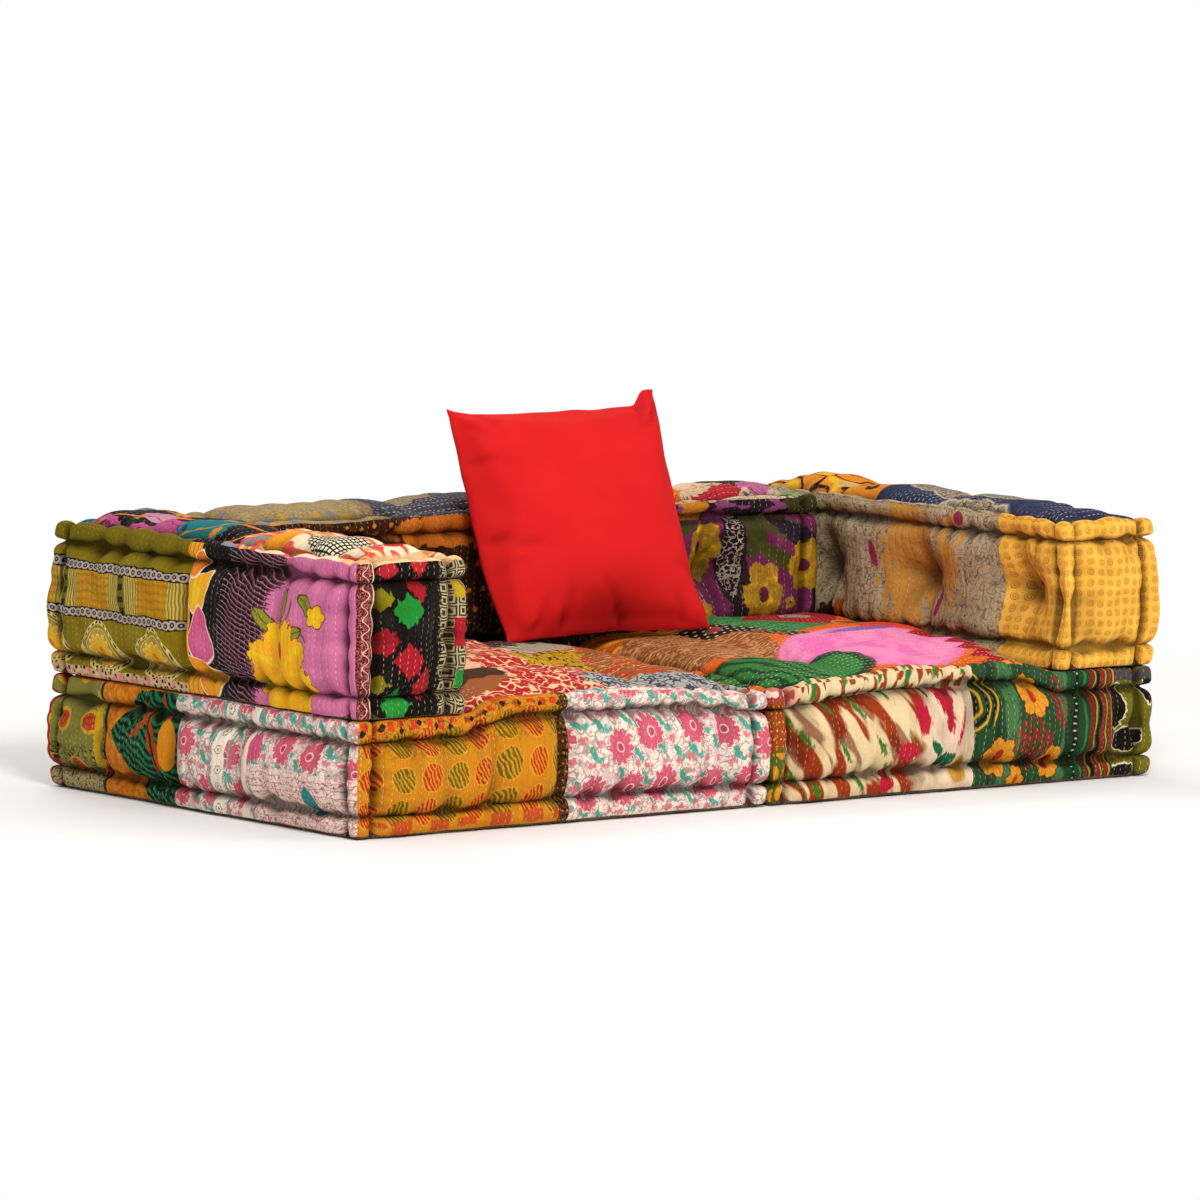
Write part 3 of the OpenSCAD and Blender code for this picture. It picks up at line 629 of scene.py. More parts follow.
def set_tufts(c, face, places):
    """Tufts at half the height of a face, each in a shallow channel."""
    c.tufts[face] = [(place, UPPER_H / 2, TUFT_IN) for place in places]
    c.channels[face] = [(place, TUFT_CHANNEL) for place in places]
    c.swell[face] = INNER_SWELL
    c.bow[face] = 0.0


def lying(heights):
    """An upper cushion's heights where it lies on the bases, its lower roll squashed."""
    return squashed(np.maximum(heights, 0)) + HAIR


def arm_cushion(side, seed):
    at_right = side == "right"
    x0 = BASE_W + GAP / 2 - ARM_W if at_right else -BASE_W - GAP / 2
    c = Cushion(f"arm_{side}", (ARM_W, BASE_D, UPPER_H), (x0, -BASE_D / 2, UPPER_Z), seed)
    set_tufts(c, LEFT if at_right else RIGHT, ARM_TUFTS)
    c.top_rise = lambda x, y: upper_crown(y, BASE_D, x, ARM_W, ARM_TUFTS)

    def limit(p):
        """Keeps the arm clear of the back's end and of its base."""
        inward = p[:, 0] if at_right else ARM_W - p[:, 0]
        beside_back = p[:, 1] > BACK_FACE - CLEAR_FROM
        inward = np.where(beside_back, np.maximum(inward, 0), inward)
        p[:, 0] = inward if at_right else ARM_W - inward
        p[:, 2] = lying(p[:, 2])
        return p

    c.limit = limit
    return c


def back_cushion(seed):
    c = Cushion("back", (BACK_W, BACK_T, UPPER_H), (-BACK_W / 2, BASE_D / 2 - BACK_T, UPPER_Z), seed)
    set_tufts(c, FRONT, BACK_TUFTS)
    for end in (LEFT, RIGHT):
        c.swell[end] = 0.0
        c.bow[end] = 0.0
    c.top_rise = lambda x, y: upper_crown(x, BACK_W, y, BACK_T, BACK_TUFTS)

    def limit(p):
        """Keeps the back clear of the arms and the bases."""
        p[:, 0] = np.clip(p[:, 0], HAIR, BACK_W - HAIR)
        p[:, 2] = lying(p[:, 2])
        return p

    c.limit = limit
    return c


BASE_PANELS = ("top", "front", "inner_side", "rear", "outer_side", "bottom")
ARM_PANELS = ("top", "front_end", "inner_side", "rear_end", "outer_side", "bottom")
PANELS = {
    "base_left": BASE_PANELS,
    "base_right": BASE_PANELS,
    "arm_left": ARM_PANELS,
    "arm_right": ARM_PANELS,
    "back": ("top", "front", "right_end", "rear", "left_end", "bottom"),
}


def finish_cover(piece, body):
    nodes = [f"{body}_{panel}" for panel in PANELS[body]] + [f"{body}_filling"]
    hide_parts(*nodes)
    smooth_piece(piece)


def ink(code):
    """A dye as the shader wants it, from its code."""
    parts = [int(code[k:k + 2], 16) / 255 for k in (0, 2, 4)]
    return (*[c / 12.92 if c < 0.04045 else ((c + 0.055) / 1.055) ** 2.4 for c in parts], 1.0)


def new_material(name):
    """A new material with its nodes and its shader."""
    material = bpy.data.materials.new(name)
    material.use_nodes = True
    return material, material.node_tree, material.node_tree.nodes["Principled BSDF"]


def set_inputs(tree, node, inputs):
    """Sets a node's inputs to values, or joins them to other nodes' outputs."""
    for place, item in inputs.items():
        if isinstance(item, bpy.types.NodeSocket):
            tree.links.new(item, node.inputs[place])
        else:
            node.inputs[place].default_value = item


def new_node(tree, kind, inputs, **settings):
    """A new node with its settings and inputs."""
    node = tree.nodes.new(kind)
    for name, setting in settings.items():
        setattr(node, name, setting)
    set_inputs(tree, node, inputs)
    return node


def mixed(tree, factor, a, b, blend="MIX"):
    """Two colours mixed."""
    inputs = {0: factor, 6: a, 7: b}
    return new_node(tree, "ShaderNodeMix", inputs, data_type="RGBA", blend_type=blend).outputs[2]


def painted_crease_shade(tree):
    """The painted shade of a fold at a place of a cover."""
    return new_node(tree, "ShaderNodeAttribute", {}, attribute_name="painted_shade").outputs["Fac"]


class Value:
    """A number in a cloth's nodes. Arithmetic on it adds math nodes."""

    def __init__(self, cloth, socket):
        self.cloth = cloth
        self.socket = socket

    def calc(self, operation, *others):
        inputs = dict(enumerate((self, *others)))
        node = self.cloth.node("ShaderNodeMath", inputs, operation=operation)
        return Value(self.cloth, node.outputs[0])

    def __add__(self, other):
        return self.calc("ADD", other)

    def __sub__(self, other):
        return self.calc("SUBTRACT", other)

    def __rsub__(self, other):
        return (self * -1.0).calc("ADD", other)

    def __mul__(self, other):
        return self.calc("MULTIPLY", other)

    def __truediv__(self, other):
        return self.calc("DIVIDE", other)

    def __neg__(self):
        return self * -1.0

    def __abs__(self):
        return self.calc("ABSOLUTE")

    def floor(self):
        return self.calc("FLOOR")

    def fract(self):
        return self.calc("FRACT")

    def sin(self):
        return self.calc("SINE")

    def cos(self):
        return self.calc("COSINE")

    def lower(self, other):
        return self.calc("MINIMUM", other)

    def higher(self, other):
        return self.calc("MAXIMUM", other)

    def clamped(self):
        return Value(self.cloth, self.cloth.node("ShaderNodeClamp", {"Value": self}).outputs[0])


def plain_socket(item):
    """The socket of a value, and anything else as it is."""
    return item.socket if isinstance(item, Value) else item


class Spot:
    """A place in a print. Its shapes are distances, below 0 inside the shape."""

    def __init__(self, x, y):
        self.x = x
        self.y = y

    def turned(self, angle):
        c, s = math.cos(angle), math.sin(angle)
        return Spot(self.x * c + self.y * s, self.y * c - self.x * s)

    def moved(self, x, y):
        return Spot(self.x - x, self.y - y)

    def radius(self):
        return (self.x * self.x + self.y * self.y).calc("SQRT")

    def angle(self):
        return self.y.calc("ARCTAN2", self.x)

    def disc(self, r):
        return self.radius() - r

    def oval(self, rx, ry):
        return (Spot(self.x / rx, self.y / ry).radius() - 1.0) * min(rx, ry)

    def box(self, rx, ry):
        return (abs(self.x) - rx).higher(abs(self.y) - ry)

    def diamond(self, rx, ry):
        return (abs(self.x) / rx + abs(self.y) / ry - 1.0) * min(rx, ry)

    def flower(self, r, petals, depth=0.3, turn=0.0):
        wave = abs((self.angle() * (petals / 2) + turn).cos())
        return self.radius() - (wave * depth + (1 - depth)) * r

    def drop(self, rx, ry):
        """A teardrop with its tip up."""
        narrow = (1.0 - self.y * (0.55 / ry)) * rx
        return (Spot(self.x / narrow, self.y / ry).radius() - 1.0) * rx


def bars(x, pitch, share):
    """Lines across x, one every pitch. Each is twice a share of the pitch wide."""
    return (abs((x / pitch).fract() - 0.5) - share) * pitch


def again(x, pitch):
    """x from the middle of its own step, where the steps repeat every pitch."""
    return (x / pitch).fract() * pitch - pitch / 2


# How far the printed lines wander, and over what lengths the prints and the swaying stripes do
WARP = 0.0075
WARP_SIZE = 0.030
SWAY_SIZE = 0.05

# The wear: how wide its spots are, how far it swings, and how much more it soils than it fades
WEAR_SIZE = 0.06
WEAR_SWING = 2.2
SOILED_MORE = 1.6

# The weave: how thick a thread is, how much longer its shades are along it, and how much lighter
# the warp and how much darker the weft gets
THREAD = 0.0011
THREAD_RUN = 3.0
WARP_LIGHT = 0.14
WEFT_DARK = 0.6

# The running stitches: how far apart they start, half the share that shows, half their width,
# how soft their edges are, and how wide the cloth is drawn in beside a row
STITCH_PITCH = 0.0092
STITCH_SHARE = 0.23
STITCH_HALF = 0.00036
STITCH_SOFT = 0.0005
ROW_PULL = 0.0022

# How far a row of stitches strays and over what length, and above what level of noise it shows
ROW_STRAY = 0.010
ROW_STRAY_RUN = 0.07
ROW_SHOWS_RUN = 0.11
ROW_SHOWS = 0.36

# How high each part of the fine relief is, and how wide the crumples of the cloth are
YARN_HIGH = 0.00022
PULL_DEEP = 0.0009
STITCH_HIGH = 0.0004
RIDGE_HIGH = 0.0003
CRUMPLE_HIGH = 0.0032
CRUMPLE_SIZE = 0.012

# How dark the painted shade in a fold gets, less what a shallow one lacks, and the colour of that painted
# shade
PAINTED_FOLD_SHADE = 0.74
FOLD_SHALLOW = 0.06
FOLD_SHADE_COLOUR = "22130a"

# How rough a cloth is, and how much rougher its pale threads are, and its little gloss
CLOTH_ROUGH = 0.78
THREAD_ROUGH = 0.15
CLOTH_GLOSS = 0.06

# How deep the dyes have sunk in, and the warm wash that washing leaves on every cloth
DYE_DEPTH = 1.12
DYE_RICH = 0.99
WARM_WASH = (1.05, 1.0, 0.88, 1.0)


class Cloth:
    """One printed cloth of the patchwork: a ground, what is printed on it, and its stitches."""

    def __init__(self, name, ground):
        self.material, self.tree, self.shader = new_material(name)
        cloth_map = self.node("ShaderNodeUVMap", {}, uv_map="cloth")
        split = self.node("ShaderNodeSeparateXYZ", {0: cloth_map.outputs[0]})
        self.straight_u = Value(self, split.outputs[0])
        self.straight_v = Value(self, split.outputs[1])
        self.u = self.straight_u + self.wobble(WARP_SIZE, WARP)
        self.v = self.straight_v + self.wobble(WARP_SIZE, WARP, shift=7.0)
        self.colour = ink(ground)

    def node(self, kind, inputs, **settings):
        plain = {place: plain_socket(item) for place, item in inputs.items()}
        return new_node(self.tree, kind, plain, **settings)

    def at(self, u, v, turn=0.0):
        spot = Spot(self.u - u, self.v - v)
        return spot.turned(turn) if turn else spot

    def band(self, v, half):
        """A band along the cloth."""
        return self.at(0, v).box(FAR, half)

    def random(self, a, b):
        """A number from 0 to 1 for each pair of whole numbers."""
        return (((a * 12.9898 + b * 78.233).sin()) * 43758.5453).fract()

    def tiles(self, pitch_u, pitch_v, shift=0.0, jitter=0.0):
        """A spot that repeats over the cloth, each copy moved at random by a jitter at most."""
        row = (self.v / pitch_v).floor()
        along = self.u / pitch_u + row * shift
        column = along.floor()
        x = ((along - column) - 0.5) * pitch_u
        y = ((self.v / pitch_v - row) - 0.5) * pitch_v
        if jitter:
            number = self.random(column, row)
            x = x + (number - 0.5) * (2 * jitter)
            y = y + ((number * 7.3).fract() - 0.5) * (2 * jitter)
        return Spot(x, y)

    def grain(self, size, detail=1.0, stretch=(1.0, 1.0), shift=0.0, turn=0.0):
        """Noise from 0 to 1, in lumps of a size."""
        at = Spot(self.straight_u, self.straight_v)
        if turn:
            at = at.turned(turn)
        along = at.x * (1 / stretch[0]) + shift
        place = self.node("ShaderNodeCombineXYZ", {0: along, 1: at.y * (1 / stretch[1])})
        inputs = {"Vector": place.outputs[0], "Scale": 1 / size, "Detail": detail}
        return Value(self, self.node("ShaderNodeTexNoise", inputs, noise_dimensions="2D").outputs[0])

    def wobble(self, size, reach, detail=1.0, stretch=(1.0, 1.0), shift=0.0):
        """Noise about 0, over a reach."""
        return (self.grain(size, detail, stretch, shift) - 0.5) * reach

    def above(self, size, level, detail=1.0, stretch=(1.0, 1.0), shift=0.0, turn=0.0, slope=0.1):
        """The islands where noise stands above a level."""
        return self.grain(size, detail, stretch, shift, turn) * -slope + level * slope

    def veins(self, size, width, detail=1.0, stretch=(1.0, 1.0), shift=0.0, slope=0.08):
        """The thin winding lines where noise passes through its middle."""
        return (abs(self.grain(size, detail, stretch, shift) - 0.5) - width) * slope

    def stripes(self, pitch, share, turn=0.0, sway=0.0):
        """Stripes across u, turned and swaying if asked. Each is a share of the pitch wide."""
        across = Spot(self.u, self.v).turned(turn).x if turn else self.u
        if sway:
            across = across + self.wobble(SWAY_SIZE, sway)
        return bars(across, pitch, share / 2)

    def mix(self, factor, a, b):
        return mixed(self.tree, plain_socket(factor), a, b)

    def shade(self, factor, colour):
        self.colour = self.mix(factor, self.colour, ink(colour) if isinstance(colour, str) else colour)

    def lay(self, distance, colour, soft=0.0009, strength=1.0):
        """Prints a colour where a distance is below 0."""
        mask = (distance * (-1 / soft) + 0.5).clamped()
        self.shade(mask * strength if strength != 1.0 else mask, colour)

    def ovals(self, rows, ragged=None, soft=0.0009):
        """Prints ovals, each with its middle, half sizes, turn and colour."""
        for u, v, ru, rv, turn, colour in rows:
            shape = self.at(u, v, turn).oval(ru, rv)
            self.lay(shape + ragged if ragged else shape, colour, soft)

    def bands(self, x, rows):
        """Prints lines across x, each with its place, width and colour."""
        for at, width, colour in rows:
            self.lay(abs(x - at) - width / 2, colour)

    def scribble(self, size, width, colour, shift=0.0, strength=1.0):
        """Thin drawn lines that curl about."""
        self.lay(abs(self.grain(size, 1.5, shift=shift) - 0.5) - width, colour, 0.012, strength)

    def wear(self, fade):
        """Fades the cloth in places, and soils it in others."""
        worn = self.wobble(WEAR_SIZE, WEAR_SWING, 3.0, shift=3.0)
        self.shade((worn * fade).clamped(), "f0e2c6")
        self.shade((worn * -SOILED_MORE * fade).clamped(), "1a1008")

    def weave(self):
        """Shades the threads both ways. Hands back the shade of each."""
        warp = self.grain(THREAD, stretch=(1.0, THREAD_RUN), shift=1.0)
        weft = self.grain(THREAD, stretch=(THREAD_RUN, 1.0), shift=5.0)
        self.shade(((warp - 0.5) * WARP_LIGHT).clamped(), "f4e0b8")
        self.shade(((weft - 0.5) * WEFT_DARK).clamped(), "000000")
        return warp, weft

    def stitches(self, along, row, thread, strength):
        """Rows of running stitches. Hands back where they show, and how far off the next row is."""
        across, run = self.straight_u, self.straight_v
        if along == "u":
            across, run = run, across
        across = across + self.wobble(ROW_STRAY_RUN, ROW_STRAY, shift=11.0)
        line = (across / row).floor()
        from_line = abs((across / row).fract() - 0.5) * row
        hand = self.random(line, line * 0.37)
        dash_at = (run / STITCH_PITCH + hand).fract()
        dash = (abs(dash_at - 0.5) - STITCH_SHARE) * STITCH_PITCH
        sewn = dash.higher(from_line - STITCH_HALF)
        in_places = ((self.grain(ROW_SHOWS_RUN, shift=17.0) - ROW_SHOWS) * 5.0).clamped()
        mask = (sewn * (-1 / STITCH_SOFT) + 0.5).clamped() * in_places
        self.shade(mask * strength, thread)
        return mask, from_line

    def finish(self, along="v", row=0.0115, thread="ece2cc", strength=0.55, fade=0.032):
        """Adds wear, the weave, running stitches and painted shade in the folds, and hands the cloth
        over.
        """
        self.wear(fade)
        warp, weft = self.weave()
        mask, from_line = self.stitches(along, row, thread, strength)
        ridge = (from_line / row * math.pi).cos()
        pulled = ((from_line - ROW_PULL) * (-1 / ROW_PULL)).clamped()
        height = (warp + weft) * YARN_HIGH - pulled * PULL_DEEP + mask * STITCH_HIGH - ridge * RIDGE_HIGH
        height = height + self.grain(CRUMPLE_SIZE, 3.0, shift=23.0) * CRUMPLE_HIGH
        bump = self.node("ShaderNodeBump", {"Strength": 0.75, "Distance": 1.0, "Height": height})
        # Painted shade: the cloth darkens towards a deep brown in the cover's folds, grooves and pits
        depth = Value(self, painted_crease_shade(self.tree))
        self.shade((depth * PAINTED_FOLD_SHADE - FOLD_SHALLOW).clamped(), FOLD_SHADE_COLOUR)
        sunk = self.node("ShaderNodeGamma", {"Gamma": DYE_DEPTH, "Color": self.colour}).outputs[0]
        warm = mixed(self.tree, 1.0, sunk, WARM_WASH, "MULTIPLY")
        rich = self.node("ShaderNodeHueSaturation", {"Saturation": DYE_RICH, "Color": warm})
        set_inputs(self.tree, self.shader, {
            "Base Color": rich.outputs[0],
            "Normal": bump.outputs[0],
            "Roughness": (warp * THREAD_ROUGH + CLOTH_ROUGH).socket,
            "Specular IOR Level": CLOTH_GLOSS,
        })
        return self.material


PRINTS = {}


def printed(ground):
    """Puts a print on the list under its function's name, with the dye of its ground."""

    def listed(make):
        PRINTS[make.__name__] = (ground, make)
        return make

    return listed


@printed("8a7a08")
def olive_ikat(c):
    """Olive cloth: chain bands, a row of ikat blocks, and teardrops below."""
    block_pitch = 0.155
    drop_pitch = 0.142
    blocks = Spot(again(c.u - 0.0625, block_pitch), c.v)
    inside = c.band(0.140, 0.030)
    c.lay(inside, "8a7c20")
    c.lay(c.stripes(0.0052, 0.5).higher(blocks.box(0.066, FAR)).higher(inside), "cbb468")
    feathered = c.above(0.012, 0.52, 2.0, stretch=(0.4, 2.2), shift=2.0, slope=0.02)
    c.lay(blocks.box(0.038, FAR).higher(inside), "bd9210")
    c.lay(feathered.higher(blocks.box(0.036, FAR)).higher(inside), "d07f10", 0.004, 0.75)
    rows = c.stripes(0.012, 0.3, math.pi / 2)
    c.lay(rows.higher(blocks.box(0.041, FAR)).higher(inside), "7c7410", 0.004, 0.6)
    between = [blocks.moved(side * block_pitch / 2, 0).box(0.008, FAR) for side in (1, -1)]
    middle = between[0].lower(between[1])
    c.lay(middle.higher(inside), "6e6a1e")
    c.lay(c.tiles(0.008, 0.018, 0.5).box(0.004, 0.0045).higher(middle).higher(inside), "26241a")
    for height in (0.104, 0.178):
        band = c.band(height, 0.0085)
        c.lay(band, "141214")
        link = Spot(again(c.u, 0.0135), c.v - height)
        c.lay((abs(link.oval(0.0062, 0.0052)) - 0.0016).higher(band), "b5a9a6")
        c.lay(link.disc(0.0016).higher(band), "b5a9a6")
    drops = Spot(again(c.u - 0.082, drop_pitch), c.v - 0.056)
    low = c.band(0.056, 0.039)
    edge = drops.drop(0.046, 0.042)
    c.lay(edge.higher(low), "d8c98c")
    c.lay((abs(edge + 0.0045) - 0.0018).higher(c.stripes(0.009, 0.55)).higher(low), "2c1f12")
    c.lay((edge + 0.008).higher(low), "97820e")
    c.lay((abs(edge + 0.0145) - 0.0014).higher(low), "cdbc78")
    c.lay((edge + 0.0165).higher(low), "b39a3a")
    heart = drops.moved(0, -0.008)
    c.lay(heart.flower(0.027, 12).higher(low), "dfae2c")
    c.lay((abs(heart.flower(0.027, 12)) - 0.0008).higher(low), "f2e2ae")
    c.lay(heart.disc(0.006).higher(low), "c9821b")
    roll = c.band(0.006, 0.012)
    c.lay(roll, "cdb98e")
    c.lay(c.tiles(0.011, 0.010, 0.5, 0.003).box(0.003, 0.0022).higher(roll), "1c1818")
    c.lay(c.above(0.014, 0.575, shift=4.0, slope=0.02).higher(roll), "d98b92", 0.002)
    return c.finish()


@printed("17131a")
def lotus_waves(c):
    """Petals on black with fine wavy lines, and a yellow flower on mauve."""
    start = 0.365
    wave_pitch = 0.0080
    x = c.u - start
    pink_edge = x - 0.212 - (c.v - 0.12) * 0.30 + c.wobble(0.05, 0.04)
    c.lay(-pink_edge, "d47cb0")
    streaks = c.above(0.03, 0.48, 2.0, stretch=(3.0, 1.0), shift=9.0, slope=0.05)
    c.lay(streaks.higher(-pink_edge), "c06aa0", 0.02, 0.7)
    wave = c.straight_v + x * 0.42 + c.wobble(0.030, 0.012, stretch=(1.0, 3.0), shift=6.0)
    pale_part = (pink_edge - 0.010).higher(0.108 - x + c.wobble(0.01, 0.03, shift=6.5))
    c.lay(bars(wave, wave_pitch, 0.07).higher(pale_part), "b48aa4", 0.0008)
    plum_part = (pink_edge - 0.004).higher(0.130 - x)
    c.lay(bars(wave + 0.002, wave_pitch, 0.13).higher(plum_part), "6c2a50", 0.001)
    gold = x - 0.034 + c.wobble(0.04, 0.012, shift=4.0)
    c.lay(gold, "e8a51f")
    c.lay(bars(c.u, 0.011, 0.073).higher(gold), "b5641a")
    for pu, pv, ru, rv, turn, dye, deep in (
        (0.052, 0.168, 0.026, 0.036, -0.7, "f2a71c", "e8cf2a"),
        (0.062, 0.098, 0.027, 0.044, 0.15, "cf4f8e", "e07cb0"),
        (0.052, 0.036, 0.024, 0.036, 0.8, "ef8f1e", "f3c42c"),
        (0.030, 0.205, 0.014, 0.020, -0.4, "e8791c", "f0a030"),
    ):
        petal = c.at(start + pu, pv, turn)
        shape = petal.drop(ru, rv)
        c.lay(shape - 0.0022, "f4e9d2")
        c.lay(shape, dye)
        c.lay(bars(petal.x, 0.006, 0.183).higher(shape), deep, 0.003, 0.7)
        c.lay(petal.moved(0, -0.3 * rv).oval(ru * 0.5, rv * 0.45), deep, 0.015, 0.7)
    for pu, pv, turn, length in (
        (0.260, 0.115, 0.5, 0.055), (0.285, 0.150, -0.3, 0.040), (0.305, 0.125, 1.3, 0.060),
    ):
        stem = c.at(start + pu, pv, turn)
        past_end = (abs(stem.y) - length / 2).higher(0.0)
        c.lay(abs(stem.x + stem.y * stem.y * 6) - 0.0022 + past_end, "75702c")
    for pu, pv, turn in (
        (0.262, 0.160, -0.25), (0.292, 0.118, -1.2), (0.214, 0.135, 0.9), (0.328, 0.165, 1.0),
    ):
        place = c.at(start + pu, pv, turn)
        leaf = place.oval(0.0105, 0.026)
        c.lay(leaf, "8f9438")
        c.lay(abs(leaf) - 0.0010, "5a4a1c")
        c.lay((abs(place.x) - 0.0008).higher(leaf), "5a4a1c")
    bloom = c.at(start + 0.262, 0.058)
    flower = bloom.flower(0.080, 9, 0.20, 0.4) + c.wobble(0.012, 0.026, 2.0, shift=8.0)
    c.lay(flower, "eac414")
    c.lay((abs((bloom.angle() * 4.5).sin()) * -0.01 + 0.0045).higher(flower), "eeb01c", 0.006)
    c.lay(abs(flower) - 0.0010, "7a4a14")
    c.lay(bloom.moved(-0.004, 0.032).oval(0.010, 0.014), "d8352c")
    bud = c.at(start + 0.352, 0.150).flower(0.020, 5)
    c.lay(bud, "e6bc08")
    c.lay(abs(bud) - 0.0010, "7a4a14")
    return c.finish()


@printed("6c1424")
def maroon_border(c):
    """A narrow maroon border strip with a curling vine between white and black lines."""
    vine = c.u - 0.013 + (c.v * 260).sin() * 0.0050
    c.scribble(0.0055, 0.03, "c48c88", 2.0, 0.7)
    c.lay(abs(vine) - 0.0010, "e0b8b0")
    c.lay(abs(c.u - 0.0260) - 0.0016, "e9ddcc")
    c.lay(0.0272 - c.u, "15110f")
    c.lay(abs(c.u - 0.0010) - 0.0012, "e9ddcc")
    return c.finish()


@printed("6c1424")
def maroon_edge(c):
    """The strip where it turns round the corner."""
    c.scribble(0.0055, 0.03, "c48c88", 2.0, 0.7)
    c.lay(c.u - 0.7835, "15110f")
    c.lay(abs(c.u - 0.7842) - 0.0012, "e9ddcc")
    return c.finish()


@printed("100e12")
def ikat_stars(c):
    """Black cloth with feathered stars in green, red and olive."""
    green, crimson, rose, olive = "1f8f3c", "a3142a", "b01c30", "8d8414"
    feather = c.wobble(0.005, 0.012, stretch=(1.0, 4.0), shift=2.0)
    for pu, pv, r, dye in (
        (0.080, 0.163, 0.026, green), (0.046, 0.118, 0.021, crimson), (0.082, 0.088, 0.027, crimson),
        (0.116, 0.052, 0.026, crimson), (0.040, 0.182, 0.018, olive), (0.040, 0.052, 0.015, olive),
        (0.102, 0.196, 0.020, crimson), (0.070, 0.020, 0.026, green), (0.055, 0.226, 0.018, rose),
        (0.110, 0.232, 0.018, rose), (0.128, 0.135, 0.012, "1d2430"),
    ):
        star = c.at(pu, pv)
        c.lay(star.diamond(r, r * 1.05).lower(star.box(r * 0.62, r * 0.62)) + feather, dye, 0.0015)
    return c.finish(row=0.012)


@printed("bab090")
def window_panes(c):
    """Cream cloth with a dark window pattern and a few bright blocks."""
    panes = c.tiles(0.0165, 0.0185)
    c.lay(abs(panes.box(0.0062, 0.0072)) - 0.0011, "2a2114")
    c.lay(panes.box(0.0028, 0.0036), "3a2f18")
    c.lay(c.tiles(0.0165, 0.0740, 0.5).moved(0, 0.02).box(0.0082, 0.0012), "2a2114")
    ragged = c.wobble(0.006, 0.004)
    for pu, pv, ru, rv, dye in (
        (0.193, 0.125, 0.016, 0.022, "a8182c"), (0.196, 0.055, 0.014, 0.014, "1f8f3c"),
        (0.186, 0.190, 0.009, 0.013, "b99a14"), (0.140, 0.230, 0.010, 0.010, "a8182c"),
    ):
        c.lay(c.at(pu, pv).box(ru, rv) + ragged, dye)
    c.lay(c.u - 0.152 + c.wobble(0.004, 0.014, stretch=(4.0, 1.0)), "17161a", 0.0015)
    return c.finish(row=0.012)


@printed("858440")
def olive_suns(c):
    """Olive green with red suns in yellow rings."""
    suns = c.tiles(0.062, 0.075, 0.5)
    c.lay(suns.disc(0.0200), "c4a22a")
    c.lay(suns.disc(0.0148) + c.wobble(0.004, 0.003), "b8481a")
    c.lay(abs(suns.disc(0.0070)) - 0.0012, "8c2f12", strength=0.7)
    low = c.v - 0.032
    c.lay(low, "a89a72")
    c.lay(abs(c.grain(0.008) - 0.5).higher(low) - 0.04, "35302c", 0.012)
    c.lay(abs(c.u - 0.004) - 0.012 + c.wobble(0.01, 0.01), "a8331c")
    c.lay(c.at(0.138, 0.10).box(0.0045, 0.060), "c9aa14", strength=0.85)
    c.lay(0.146 - c.u, "23301c")
    return c.finish()


@printed("d88a10")
def ochre_zigzag(c):
    """Deep ochre with a green and black zigzag field and rust leaves."""
    pitch = 0.0145
    c.lay(c.above(0.012, 0.49, 2.0, shift=4.0, slope=0.02), "a55a08", 0.006, 0.7)
    field = 0.214 - c.u + (abs((c.v / 0.17).fract() - 0.62) * 0.17 - 0.03) * 0.75
    wave = c.v + (c.u / 0.020 * 3.14).sin() * 0.004 + c.u * 0.5
    c.lay(field, "123c2c")
    c.lay(bars(wave, pitch, 0.2).higher(field), "0c7a54", 0.002)
    c.lay(bars(wave + pitch / 2, pitch, 0.1).higher(field), "06110d", 0.002)
    c.ovals([
        (pu, pv, 0.0070, 0.024, turn, "a14a16") for pu, pv, turn in (
            (0.270, 0.140, 0.9), (0.292, 0.105, 0.2), (0.262, 0.118, -0.9), (0.312, 0.150, 0.5),
            (0.306, 0.075, 0.1),
        )
    ])
    c.lay(c.at(0.322, 0.095).oval(0.013, 0.040), "c98710")
    c.lay(abs(c.at(0.300, 0.080, 0.35).x) - 0.0016, "2c1a0e")
    return c.finish()


def rose_ground(c):
    """White cloth with looping pale stems, rose flowers and teal leaves."""
    c.scribble(0.020, 0.034, "a39896", 1.0, 0.85)
    c.scribble(0.010, 0.034, "c0959a", 13.0, 0.8)
    c.lay(abs(c.grain(0.045, shift=31.0) - 0.5) - 0.020, "d7bfc4", 0.012, 0.8)
    torn = c.wobble(0.006, 0.009, shift=15.0)
    leaves = c.tiles(0.041, 0.037, 0.5, 0.012)
    slanted = Spot(leaves.x + leaves.y * 0.7, leaves.y - leaves.x * 0.4)
    c.lay(slanted.oval(0.0058, 0.0125) + torn, "4fa39c", 0.0018)
    c.lay(leaves.moved(0.012, -0.007).oval(0.009, 0.0042) + torn, "5cada6", 0.0018)
    c.lay(c.tiles(0.029, 0.031, 0.37, 0.006).oval(0.0062, 0.0046) + torn, "d07084", 0.0018, 0.85)
    blooms = c.tiles(0.079, 0.074, 0.5, 0.015)
    shape = blooms.flower(0.0255, 10, 0.24) + c.wobble(0.005, 0.014, shift=5.0)
    c.lay(shape - 0.0015, "f3e6e4")
    c.lay(shape, "cc5f7a", 0.0012)
    rays = abs((blooms.angle() * 5).sin()) * 0.004 - 0.0007
    c.lay(rays.higher(shape + 0.003), "d67c9a", 0.002, 0.6)
    c.lay(blooms.disc(0.0048), "b84a6c")
    c.lay(abs(blooms.disc(0.0062)) - 0.0008, "f0d4da")


@printed("ebe0de")
def rose_paisley(c):
    """The rose cloth as it is."""
    rose_ground(c)
    return c.finish(thread="fbf6ee")


